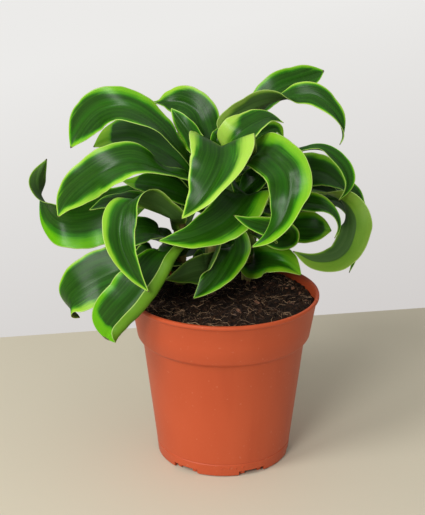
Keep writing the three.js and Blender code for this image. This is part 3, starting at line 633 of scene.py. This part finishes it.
def leaf_finish(name, centre, stripe, border, lime, green_and_painted_glow, pale, hairline, gloss):
    """One face of the leaves: a dark, striped centre, a lime band along each margin that runs into a deeper
    green inside, partly the leaf's own colour and partly a painted glow of light shining through the blade,
    a pale hairline at the very edge and a dry tip. It follows the facts that make_leaf leaves on each
    blade."""
    finish = Finish(name, {"Subsurface Weight": 0.12, "Subsurface Scale": 0.0015,
                           "Subsurface Radius": (0.5, 1.0, 0.2), "Specular IOR Level": 0.2})
    edge, margin, across, along, run, seed, paleness = map(
        finish.fact, ("edge", "margin", "across", "along", "run", "seed", "paleness"))
    veins = finish.noise(finish.vector(across * 0.8, along * 0.01, seed), detail=4.0, rough=0.6)
    broad = finish.noise(finish.vector(across * 0.2, along * 0.018, seed + 7.0), detail=2.0)
    ragged = finish.noise(finish.vector(across * 0.35, along * 0.03, seed + 3.0), detail=4.0, rough=0.62)
    inner = (margin * (1.0 + (ragged - 0.5) * 0.9)).most(0.3)
    depth = edge / inner                # 0 at the margin and 1 where the band ends
    soft = 0.28 + 0.9 / inner           # the share of a band over which it runs into the centre
    # The lime runs inwards into a deeper green, partly the leaf's own and partly a painted glow of light
    # through the blade.
    band = finish.blend((depth * 0.4 + broad - paleness * 0.5).step(0.3, 0.75), lime, green_and_painted_glow)
    band = finish.blend((paleness * (1.0 - depth * 0.3)).most(0.0), band, pale)
    band = finish.blend(depth.step(0.45, 1.05) * 0.8, band, border)
    # streaks of that green near the band, partly the leaf's own and partly painted glow
    streak = veins.step(0.56, 0.72) * (depth - soft * 1.6).step(1.0, 0.0) * 0.7
    green = finish.blend(veins.step(0.3, 0.75) * 0.8, centre, stripe)
    green = finish.blend(broad.step(0.5, 0.85) * 0.4, green, border)
    green = finish.blend((depth - 1.0).step(soft, 0.0) * broad.step(0.2, 0.6) * 0.75, green, border)
    green = finish.blend(streak, green, green_and_painted_glow)
    colour = finish.blend((depth - 1.0).step(soft * 0.35, soft * -0.35), green, band)
    colour = finish.blend((0.4 - edge).step(-0.25, 0.25) * run.step(0.02, 0.12) * 0.6, colour, hairline)
    dried = ((run - 0.986) * 90.0 + (ragged - 0.5) * 2.0).step(0.0, 1.0)
    colour = finish.blend(dried, colour, DRY_TIP)
    rough = gloss + (veins - 0.5) * 0.2 + dried * 0.3
    height = veins * 0.7 + broad * 0.3
    return finish.wear(base_color=colour, roughness=rough, normal=finish.bump(height, 0.0003, 0.5))


def pot_finish():
    finish = Finish("terracotta_plastic", {"Specular IOR Level": 0.32})
    place = finish.place()
    cloud = finish.noise(finish.scaled(place, (14.0, 14.0, 9.0)))
    flow = finish.noise(finish.scaled(place, (60.0, 60.0, 6.0)))
    grain = finish.noise(place, scale=900.0, detail=2.0)
    specks = finish.noise(place, scale=420.0, detail=1.0).step(0.70, 0.78)
    colour = finish.blend(cloud.step(0.3, 0.75), paint(189, 79, 42), paint(197, 87, 50))
    colour = finish.blend(flow.step(0.55, 0.8) * 0.3, colour, paint(179, 72, 38))
    colour = finish.blend(specks * 0.5, colour, paint(204, 118, 86))
    rough = 0.44 + (cloud - 0.5) * 0.12 + (grain - 0.5) * 0.12
    return finish.wear(base_color=colour, roughness=rough,
                       normal=finish.bump(grain * 0.6 + flow * 0.4, 0.0002, 0.35))


def peat_finish(name, dark, light, shine):
    finish = Finish(name, {"Specular IOR Level": 0.2})
    place = finish.place()
    lumps = finish.noise(place, scale=240.0, detail=5.0, rough=0.7)
    grains = finish.noise(place, scale=1100.0, rough=0.7)
    colour = finish.blend(lumps.step(0.42, 0.72), dark, light)
    colour = finish.blend(grains.step(0.66, 0.78) * 0.45, colour, paint(116, 86, 60))
    return finish.wear(base_color=colour, roughness=shine + (grains - 0.5) * 0.3,
                       normal=finish.bump(lumps * 0.5 + grains * 0.5, 0.0008, 0.8))


def fibre_finish():
    finish = Finish("coir_fibre")
    tone = finish.fact("tone")
    flecks = finish.noise(finish.place(), scale=700.0, detail=2.0)
    colour = finish.blend(tone, paint(60, 38, 24), paint(186, 150, 112))
    colour = finish.blend(flecks.step(0.5, 0.7) * 0.4, colour, paint(84, 56, 36))
    return finish.wear(base_color=colour, roughness=0.6 + flecks * 0.2)


def bark_finish():
    finish = Finish("bark_chip")
    tone = finish.fact("tone")
    layers = finish.noise(finish.scaled(finish.place(), (300.0, 300.0, 1400.0)))
    colour = finish.blend(tone, paint(58, 36, 24), paint(150, 100, 70))
    colour = finish.blend(layers.step(0.45, 0.65) * 0.6, colour, paint(60, 36, 24))
    return finish.wear(base_color=colour, roughness=0.65 + layers * 0.2,
                       normal=finish.bump(layers, 0.0005, 0.7))


def cane_finish():
    finish = Finish("cane_bark")
    place = finish.place()
    streaks = finish.noise(finish.scaled(place, (420.0, 420.0, 40.0)))
    patches = finish.noise(place, scale=90.0, detail=2.0)
    colour = finish.blend(streaks.step(0.35, 0.65), paint(112, 122, 58), paint(168, 160, 88))
    colour = finish.blend(patches.step(0.5, 0.72) * 0.7, colour, paint(138, 104, 62))
    return finish.wear(base_color=colour, roughness=0.5 + patches * 0.2,
                       normal=finish.bump(streaks, 0.0004, 0.6))


# ---------------------------------------------------------------- handling pieces
def start(kind, name, **settings):
    """A fresh primitive, alone in the selection."""
    bpy.ops.object.select_all(action="DESELECT")
    getattr(bpy.ops.mesh, f"primitive_{kind}_add")(**settings)
    piece = bpy.context.active_object
    piece.name = piece.data.name = name
    return piece


def applied(piece, kind, **settings):
    bpy.context.view_layer.objects.active = piece
    modifier = piece.modifiers.new(kind.lower(), kind)
    for name, value in settings.items():
        setattr(modifier, name, value)
    bpy.ops.object.modifier_apply(modifier=modifier.name)


def put_away(piece, replaced=None):
    """Hands a finished piece over, with the drawn node that it stands for, if there is one."""
    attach(piece, "root")
    if replaced:
        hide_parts(replaced)


def copied(piece, name, turn):
    """A copy of a modelled piece with its own mesh, turned about the pot's axis."""
    copy = piece.copy()
    copy.data = piece.data.copy()
    copy.name = copy.data.name = name
    copy.data.transform(Matrix.Rotation(math.radians(turn), 4, "Z"))
    bpy.context.scene.collection.objects.link(copy)
    return copy


def fact_on(piece, name, values):
    attribute = piece.data.attributes.new(name, "FLOAT", "POINT")
    attribute.data.foreach_set("value", np.asarray(values, np.float32).ravel())


# ---------------------------------------------------------------- leaves
def make_leaf(leaf, seed, finishes):
    places, across, edge, margin, run, length = blade(leaf, seed)
    columns = 2 * HALF_COLUMNS
    piece = start("grid", leaf["name"].replace("leaf", "blade"),
                  x_subdivisions=columns, y_subdivisions=LEAF_ROWS, size=2)
    mesh = piece.data
    flat = np.array([v.co for v in mesh.vertices])
    column = np.rint((1 - flat[:, 0]) / 2 * columns).astype(int)
    row = np.rint((1 + flat[:, 1]) / 2 * LEAF_ROWS).astype(int)
    mesh.vertices.foreach_set("co", (places[row, column] * MM).ravel())
    facts = dict(edge=edge[row, column], margin=margin[row, column], across=across[row, column],
                 along=run[row] * length, run=run[row], seed=np.full(len(row), seed * SEED_STRIDE),
                 paleness=np.full(len(row), leaf.get("paleness", PLAIN_PALENESS)))
    for name, values in facts.items():
        fact_on(piece, name, values)
    thick = piece.vertex_groups.new(name="thick")
    for vertex, off in enumerate(facts["edge"]):
        share = MARGIN_THICKNESS + (1 - MARGIN_THICKNESS) * float(smooth(off / THINNING))
        thick.add([vertex], share, "REPLACE")
    mesh.update()
    for finish in finishes:
        mesh.materials.append(finish)
    applied(piece, "SOLIDIFY", thickness=BLADE * MM, offset=-1, use_even_offset=False,
            use_quality_normals=True, vertex_group="thick", material_offset=1, material_offset_rim=1)
    applied(piece, "SUBSURF", levels=1, render_levels=1)
    bpy.ops.object.shade_smooth()
    put_away(piece, leaf["name"])


# ---------------------------------------------------------------- pot
def outer_radius(z):
    if z >= COLLAR_BOTTOM:
        share = (z - COLLAR_BOTTOM) / (POT_HEIGHT - LIP_HEIGHT - COLLAR_BOTTOM)
        return COLLAR_BOTTOM_RADIUS + share * (COLLAR_TOP_RADIUS - COLLAR_BOTTOM_RADIUS)
    share = (z - FOOT_BAND) / (COLLAR_BOTTOM - LEDGE_HEIGHT - FOOT_BAND)
    return FOOT_RADIUS + FOOT_BAND_PROUD + share * (BODY_TOP_RADIUS - FOOT_RADIUS - FOOT_BAND_PROUD)


def inner_radius(z):
    """Radius of the peat, which is clear of the pot's wall."""
    return outer_radius(z) - WALL - SOIL_CLEARANCE


def spun(name, profile, sides):
    """A profile drawn point by point and spun round the upright axis."""
    piece = start("plane", name, size=1)
    bpy.ops.object.mode_set(mode="EDIT")
    bpy.ops.mesh.merge(type="CENTER")
    at = Vector((0, 0, 0))
    for number, (radius, height) in enumerate(profile):
        to = Vector((radius, 0, height)) * MM
        if number:
            bpy.ops.mesh.extrude_region_move(TRANSFORM_OT_translate={"value": to - at})
        else:
            bpy.ops.transform.translate(value=to)
        at = to
    bpy.ops.mesh.select_all(action="SELECT")
    bpy.ops.mesh.spin(steps=sides, angle=2 * math.pi, center=(0, 0, 0), axis=(0, 0, 1))
    bpy.ops.mesh.select_all(action="SELECT")
    bpy.ops.mesh.remove_doubles(threshold=0.02 * MM)
    bpy.ops.mesh.normals_make_consistent(inside=False)
    bpy.ops.object.mode_set(mode="OBJECT")
    return piece


def pot_profile():
    lip_bottom = POT_HEIGHT - LIP_HEIGHT
    ledge_foot = COLLAR_BOTTOM - LEDGE_HEIGHT
    inside = FOOT_RADIUS - WALL
    floor = FLOOR_RAISE + FLOOR_THICKNESS
    underside = [(0, 0), (CENTRE_PAD_RADIUS, 0), (CENTRE_PAD_RADIUS + 1, FLOOR_RAISE),
                 (inside - 1.2, FLOOR_RAISE), (inside - 0.6, 0)]
    outside = [(FOOT_RADIUS - 0.8, 0), (FOOT_RADIUS - 0.2, 0.25), (FOOT_RADIUS, 0.9),
               (FOOT_RADIUS + 0.75, FOOT_BAND - 0.7), (FOOT_RADIUS + 0.45, FOOT_BAND - 0.35),
               (FOOT_RADIUS + 0.45, FOOT_BAND - 0.1), (outer_radius(FOOT_BAND), FOOT_BAND + 0.25),
               (outer_radius(40), 40), (outer_radius(ledge_foot), ledge_foot),
               (BODY_TOP_RADIUS + 0.5, ledge_foot + 1.1), (BODY_TOP_RADIUS + 1.7, ledge_foot + 2.3),
               (COLLAR_BOTTOM_RADIUS - 0.7, COLLAR_BOTTOM - 0.7),
               (COLLAR_BOTTOM_RADIUS, COLLAR_BOTTOM + 0.5),
               (outer_radius(100), 100), (COLLAR_TOP_RADIUS, lip_bottom - 0.7),
               (COLLAR_TOP_RADIUS + 0.3, lip_bottom - 0.2), (RIM_RADIUS - 0.5, lip_bottom + 0.25),
               (RIM_RADIUS, lip_bottom + 0.9), (RIM_RADIUS, POT_HEIGHT - 0.9),
               (RIM_RADIUS - 0.25, POT_HEIGHT - 0.25), (RIM_RADIUS - 0.9, POT_HEIGHT)]
    hollow = [(RIM_RADIUS - LIP_WIDTH + 0.6, POT_HEIGHT), (RIM_RADIUS - LIP_WIDTH, POT_HEIGHT - 0.6),
              (COLLAR_TOP_RADIUS - WALL, lip_bottom - 1), (COLLAR_BOTTOM_RADIUS - WALL, COLLAR_BOTTOM - 1),
              (BODY_TOP_RADIUS - WALL, ledge_foot + 0.6), (inside + 0.4, floor + 2), (inside - 2, floor),
              (0, floor)]
    return underside + outside + hollow


def cut(piece, cutter):
    applied(piece, "BOOLEAN", operation="DIFFERENCE", object=cutter, solver="EXACT")
    bpy.data.objects.remove(cutter)


def make_lug():
    lug = start("cube", "foot_lug", size=1, scale=Vector(LUG_SIZE) * MM,
                location=Vector((FOOT_RADIUS - LUG_INSET, 0, LUG_MIDDLE)) * MM)
    bpy.ops.object.transform_apply(location=True, scale=True)
    applied(lug, "BEVEL", width=0.35 * MM, segments=2)
    bpy.ops.object.shade_smooth_by_angle(angle=math.radians(40))
    return lug


def make_mark():
    """A small raised triangle on the foot band, point down."""
    wide, narrow = MARK_RADII
    mark = start("cone", "foot_mark", vertices=3, radius1=wide * MM, radius2=narrow * MM,
                 depth=MARK_DEPTH * MM, rotation=(math.radians(90), math.radians(180), math.radians(90)),
                 location=Vector((FOOT_RADIUS + MARK_PROUD, 0, MARK_HEIGHT)) * MM)
    bpy.ops.object.transform_apply(location=True, rotation=True)
    applied(mark, "BEVEL", width=0.15 * MM, segments=2)
    return mark


def make_pot(finish):
    pot = spun("nursery_pot", pot_profile(), POT_SIDES)
    turns = [NOTCH_TURN + 360 / NOTCH_COUNT * number for number in range(NOTCH_COUNT)]
    for turn in turns:
        way = Vector(radial(turn))
        notch = start("cube", "notch", size=1, location=way * FOOT_RADIUS * MM,
                      rotation=(0, 0, math.radians(turn)),
                      scale=Vector((NOTCH_DEPTH, NOTCH_WIDTH, NOTCH_HEIGHT * 2)) * MM)
        cut(pot, notch)
        drain = start("cylinder", "drain", vertices=32, radius=DRAIN_RADIUS * MM, depth=FOOT_BAND * MM,
                      location=(way * DRAIN_CIRCLE + Vector((0, 0, FLOOR_RAISE))) * MM)
        cut(pot, drain)
    bpy.ops.object.select_all(action="DESELECT")
    pot.select_set(True)
    bpy.context.view_layer.objects.active = pot
    bpy.ops.object.shade_smooth_by_angle(angle=math.radians(38))
    pot.data.materials.append(finish)
    put_away(pot, "pot")
    lug, mark = make_lug(), make_mark()
    lug.data.materials.append(finish)
    mark.data.materials.append(finish)
    for number, turn in enumerate(turns):
        for side, spread in (("left", -LUG_SPREAD), ("right", LUG_SPREAD)):
            put_away(copied(lug, f"foot_lug_{number}_{side}", turn + spread))
    for number, turn in enumerate(MARK_TURNS):
        put_away(copied(mark, f"foot_mark_{number}", turn))
    bpy.data.objects.remove(lug)
    bpy.data.objects.remove(mark)


# ---------------------------------------------------------------- peat
def peat_height(x, y):
    """Height of the peat over its level, in millimetres."""
    at = Vector((x, y, 0))
    humps = noise.noise(at * HUMPS[0] + Vector((3, 1, 0))) * HUMPS[1]
    lumps = noise.fractal(at * LUMPS[0], 1.0, 2.0, 4) * LUMPS[1]
    crumbs = abs(noise.noise(at * CRUMBS[0])) * CRUMBS[1]
    return humps + lumps + crumbs - PEAT_SETTLED


def make_peat(finish):
    bottom = FLOOR_RAISE + FLOOR_THICKNESS + 0.3
    ledge, collar = COLLAR_BOTTOM - LEDGE_HEIGHT, COLLAR_BOTTOM + LEDGE_HEIGHT
    edge = inner_radius(SOIL_LEVEL)
    profile = [(0, bottom), (FOOT_RADIUS - WALL - 3, bottom), (FOOT_RADIUS - WALL - 0.6, bottom + 3),
               (inner_radius(ledge - 1), ledge), (inner_radius(collar), collar)]
    profile += [(edge * ring / SOIL_RINGS, SOIL_LEVEL) for ring in range(SOIL_RINGS, -1, -1)]
    peat = spun("peat", profile, SOIL_SPOKES)
    for vertex in peat.data.vertices:
        if vertex.co.z > (SOIL_LEVEL - 0.1) * MM:
            vertex.co.z += peat_height(vertex.co.x / MM, vertex.co.y / MM) * MM
    peat.data.update()
    bpy.ops.object.shade_smooth()
    peat.data.materials.append(finish)
    put_away(peat, "soil")


def strewn(name, points, faces, tones, finish):
    """One piece of the peat's topping, with a tone for each of its points."""
    mesh = bpy.data.meshes.new(name)
    mesh.from_pydata(np.array(points) * MM, [], faces)
    mesh.materials.append(finish)
    piece = bpy.data.objects.new(name, mesh)
    bpy.context.scene.collection.objects.link(piece)
    fact_on(piece, "tone", tones)
    put_away(piece)


def on_disc(chance, edge):
    """A place on a disc of this radius, where every spot is as likely as any other."""
    radius, around = edge * math.sqrt(chance.random()), chance.uniform(0, 2 * math.pi)
    return radius * math.cos(around), radius * math.sin(around)


def scattered(count, seed, reach, sink, sizes):
    """Places on the peat, with a size and a turn each. They keep their reach from the wall, and stand
    off the peat by a share of their height."""
    chance = random.Random(seed)
    places = []
    for _ in range(count):
        x, y = on_disc(chance, inner_radius(SOIL_LEVEL) - reach)
        size = np.array([chance.uniform(low, high) for low, high in sizes])
        turn = (chance.uniform(-0.5, 0.5), chance.uniform(-0.5, 0.5), chance.uniform(0, 6.3))
        where = np.array([x, y, SOIL_LEVEL + peat_height(x, y) + sink * size[2]])
        places.append((where, size, turn))
    return places


def many(name, shape, places, tones, finish):
    """Copies of one modelled shape, each with its own size, turn and dents, as one scattered piece."""
    points = np.array([v.co for v in shape.data.vertices])
    faces = [tuple(f.vertices) for f in shape.data.polygons]
    all_points, all_faces = [], []
    for number, (where, size, turn) in enumerate(places):
        chance = np.random.default_rng(number + 17)
        dents = 1 + chance.uniform(-DENTS, DENTS, (len(points), 1))
        all_points.append((points * dents * size) @ np.array(Euler(turn).to_matrix()).T + where)
        all_faces += [tuple(v + number * len(points) for v in face) for face in faces]
    bpy.data.objects.remove(shape)
    strewn(name, np.concatenate(all_points), all_faces, np.repeat(tones, len(points)), finish)


def make_fibres(finish):
    """Thin roots and coir hairs that lie over the peat, each a slim three-sided strand."""
    chance = random.Random(41)
    edge = inner_radius(SOIL_LEVEL) - 1.2
    points, faces, tones = [], [], []
    for _ in range(FIBRE_COUNT):
        x, y = on_disc(chance, edge)
        heading, curl = chance.uniform(0, 6.3), chance.uniform(-0.5, 0.5)
        length, thick = chance.uniform(*FIBRE_LENGTHS), chance.uniform(*FIBRE_WIDTHS)
        lift = chance.uniform(*FIBRE_LIFTS) if chance.random() < 0.6 else FIBRE_LIFTS[0]
        tone, first = chance.random() ** 1.4, len(points)
        for step in range(FIBRE_STEPS + 1):
            reach = step / FIBRE_STEPS
            if math.hypot(x, y) > edge:
                x, y = x * edge / math.hypot(x, y), y * edge / math.hypot(x, y)
            rise = SOIL_LEVEL + peat_height(x, y) + 0.15 + lift * math.sin(math.pi * reach)
            across = np.array([-math.sin(heading), math.cos(heading), 0]) * thick * (1 - 0.6 * reach)
            middle = np.array([x, y, rise])
            points += [middle - across, middle + across, middle + np.array([0, 0, 1.6 * thick])]
            tones += [tone] * 3
            x += math.cos(heading) * length / FIBRE_STEPS
            y += math.sin(heading) * length / FIBRE_STEPS
            heading += curl + chance.uniform(-0.35, 0.35)
        for near in range(first, first + FIBRE_STEPS * 3, 3):
            faces += [(near + k, near + n, near + 3 + n, near + 3 + k) for k, n in ((0, 1), (1, 2), (2, 0))]
        faces += [(first + 2, first + 1, first), tuple(first + FIBRE_STEPS * 3 + k for k in range(3))]
    strewn("peat_fibres", points, faces, tones, finish)


def make_topping(crumb, bark, fibre):
    chance = random.Random(5)
    for crumbs in (FINE_CRUMBS, COARSE_CRUMBS):
        low, high = crumbs["sizes"]
        shape = start("ico_sphere", "crumb", subdivisions=1, radius=1)
        places = scattered(crumbs["count"], crumbs["seed"], reach=1.4, sink=0.25,
                           sizes=((low, high), (low, high), (low * 0.7, high * 0.8)))
        many(crumbs["name"], shape, places, [chance.random() for _ in places], crumb)
    shape = start("cube", "chip", size=1.6)
    bpy.ops.object.mode_set(mode="EDIT")
    bpy.ops.mesh.subdivide(number_cuts=1, smoothness=0.4, fractal=0.6, seed=3)
    bpy.ops.object.mode_set(mode="OBJECT")
    places = scattered(CHIP_COUNT, seed=9, reach=3.2, sink=0.5, sizes=CHIP_SIZES)
    many("bark_chips", shape, places, [chance.random() for _ in places], bark)
    make_fibres(fibre)


# ---------------------------------------------------------------- canes
def make_cane(name, cane, finish):
    """A stem drawn upwards ring by ring, with a raised scar where each old leaf came off."""
    low = cane_point(cane, SOIL_LEVEL - CANE_DEPTH)
    high = cane_point(cane, cane["tip"][2])
    piece = start("circle", f"stem_{name}", vertices=CANE_SIDES, radius=cane["radius"] * MM,
                  fill_type="NGON", location=Vector(low) * MM)
    bpy.ops.object.transform_apply(location=True)
    bpy.ops.object.mode_set(mode="EDIT")
    bpy.ops.mesh.select_all(action="SELECT")
    count = int((high[2] - low[2]) / SCAR_SPACING)
    stride = (high - low) / count * MM
    for _ in range(count):
        for share, size in SCAR_STEPS:
            bpy.ops.mesh.extrude_region_move(TRANSFORM_OT_translate={"value": stride * share})
            bpy.ops.transform.resize(value=(size, size, 1))
    bpy.ops.mesh.select_all(action="SELECT")
    bpy.ops.mesh.normals_make_consistent(inside=False)
    bpy.ops.object.mode_set(mode="OBJECT")
    bpy.ops.object.shade_smooth_by_angle(angle=math.radians(50))
    piece.data.materials.append(finish)
    put_away(piece, f"cane_{name}")


# ---------------------------------------------------------------- the plant
# The glow colour of each face is partly the leaf's own deeper green and partly a painted glow of light
# through the blade.
LEAF_FACES = [
    leaf_finish("leaf_upper", gloss=0.32, centre=paint(25, 65, 4), stripe=paint(46, 95, 16),
                border=paint(44, 122, 6), lime=paint(134, 188, 16), green_and_painted_glow=paint(94, 168, 0),
                pale=paint(174, 212, 84), hairline=paint(196, 220, 120)),
    leaf_finish("leaf_under", gloss=0.52, centre=paint(54, 86, 34), stripe=paint(72, 102, 48),
                border=paint(74, 118, 24), lime=paint(108, 144, 40), green_and_painted_glow=paint(92, 136, 24),
                pale=paint(154, 184, 84), hairline=paint(180, 206, 116)),
]
for number, leaf in enumerate(DRAWN_LEAVES + ARCHED_LEAVES):
    make_leaf(leaf, number + 1, LEAF_FACES)
for name, cane in CANES.items():
    make_cane(name, cane, cane_finish())
make_pot(pot_finish())
make_peat(peat_finish("peat_ground", paint(20, 11, 6), paint(54, 33, 18), 0.85))
make_topping(peat_finish("peat_crumb", paint(26, 15, 8), paint(66, 42, 25), 0.8),
             bark_finish(), fibre_finish())


# ---------------------------------------------------------------- table, light and camera
TABLE_MIDDLE = (0.35, -0.95, -0.0005)
TABLE_SIZE = (5.0, 2.446, 1.0)
TABLE_TURN = math.radians(10.4)
LIGHTS_AIM = Vector((0, 0, 0.15))
SKY_LEAST, SKY_MOST = 0.16, 0.66         # strength of the soft light from level and from right above
# The wall carries painted shade: darker low down and towards the right, lighter high up and to the left.
WALL_PAINTED_SHADE, WALL_PAINTED_LIGHT = paint(206, 202, 200), paint(236, 235, 233)
WALL_FROM, WALL_TO = -0.44, -0.15        # heights of the view between which the wall lightens
WALL_SLANT = 0.22                        # and how much sooner it does so towards the left


def make_table():
    table = start("plane", "table", size=1, location=TABLE_MIDDLE, rotation=(0, 0, TABLE_TURN))
    table.scale = TABLE_SIZE
    bpy.ops.object.transform_apply(location=True, rotation=True, scale=True)
    finish = Finish("pale_table")
    cloud = finish.noise(finish.place(), scale=3.0, detail=2.0)
    colour = finish.blend(cloud, paint(205, 197, 174), paint(210, 202, 181))
    table.data.materials.append(finish.wear(base_color=colour, roughness=0.6 + cloud * 0.1))


def make_light(name, place, size, power):
    data = bpy.data.lights.new(name, "AREA")
    data.shape, data.size, data.energy = "DISK", size, power
    light = bpy.data.objects.new(name, data)
    light.location = place
    light.rotation_euler = (LIGHTS_AIM - Vector(place)).to_track_quat("-Z", "Y").to_euler()
    bpy.context.scene.collection.objects.link(light)


def make_air():
    """Soft light that is stronger from above, and a pale wall behind that the camera alone sees, with
    painted shade that darkens it towards the bottom and the right.
    """
    world = bpy.data.worlds.new("studio")
    bpy.context.scene.world = world
    world.use_nodes = True
    air = Nodes(world.node_tree)
    way = air.node("ShaderNodeTexCoord", output="Generated")
    right, up = (air.node("ShaderNodeSeparateXYZ", sockets={0: way}, output=axis) for axis in "XZ")
    strength = air.node("ShaderNodeMapRange", None, {"Value": up, "To Min": SKY_LEAST, "To Max": SKY_MOST})
    # painted shade on the wall: it darkens towards the bottom and the right
    height = air.node("ShaderNodeMapRange", None,
                      {"Value": up - right * WALL_SLANT, "From Min": WALL_FROM, "From Max": WALL_TO})
    wall = air.node("ShaderNodeValToRGB", {"stops": [(0.0, WALL_PAINTED_SHADE), (1.0, WALL_PAINTED_LIGHT)]}, {"Fac": height})
    lit = air.node("ShaderNodeBackground", None, {"Color": (1.0, 0.99, 0.97, 1), "Strength": strength})
    seen = air.node("ShaderNodeBackground", None, {"Color": wall})
    by_camera = air.node("ShaderNodeLightPath", output="Is Camera Ray")
    both = air.node("ShaderNodeMixShader", None, {0: by_camera, 1: lit, 2: seen})
    air.links.new(both.socket, air.made["World Output"].inputs["Surface"])


make_table()
make_light("window_light", place=(-1.0, -0.75, 1.2), size=0.6, power=12)
make_light("fill_light", place=(-0.65, -1.45, 0.95), size=0.6, power=15.5)
make_air()
bpy.context.scene.view_settings.view_transform = "Standard"

camera = bpy.data.objects.new("camera", bpy.data.cameras.new("camera"))
camera.data.lens, camera.data.sensor_width = 85, 36
camera.location = (-0.00764, -0.77375, 0.41313)
camera.rotation_euler = (math.radians(70.622), 0, 0)
bpy.context.scene.collection.objects.link(camera)
bpy.context.scene.camera = camera
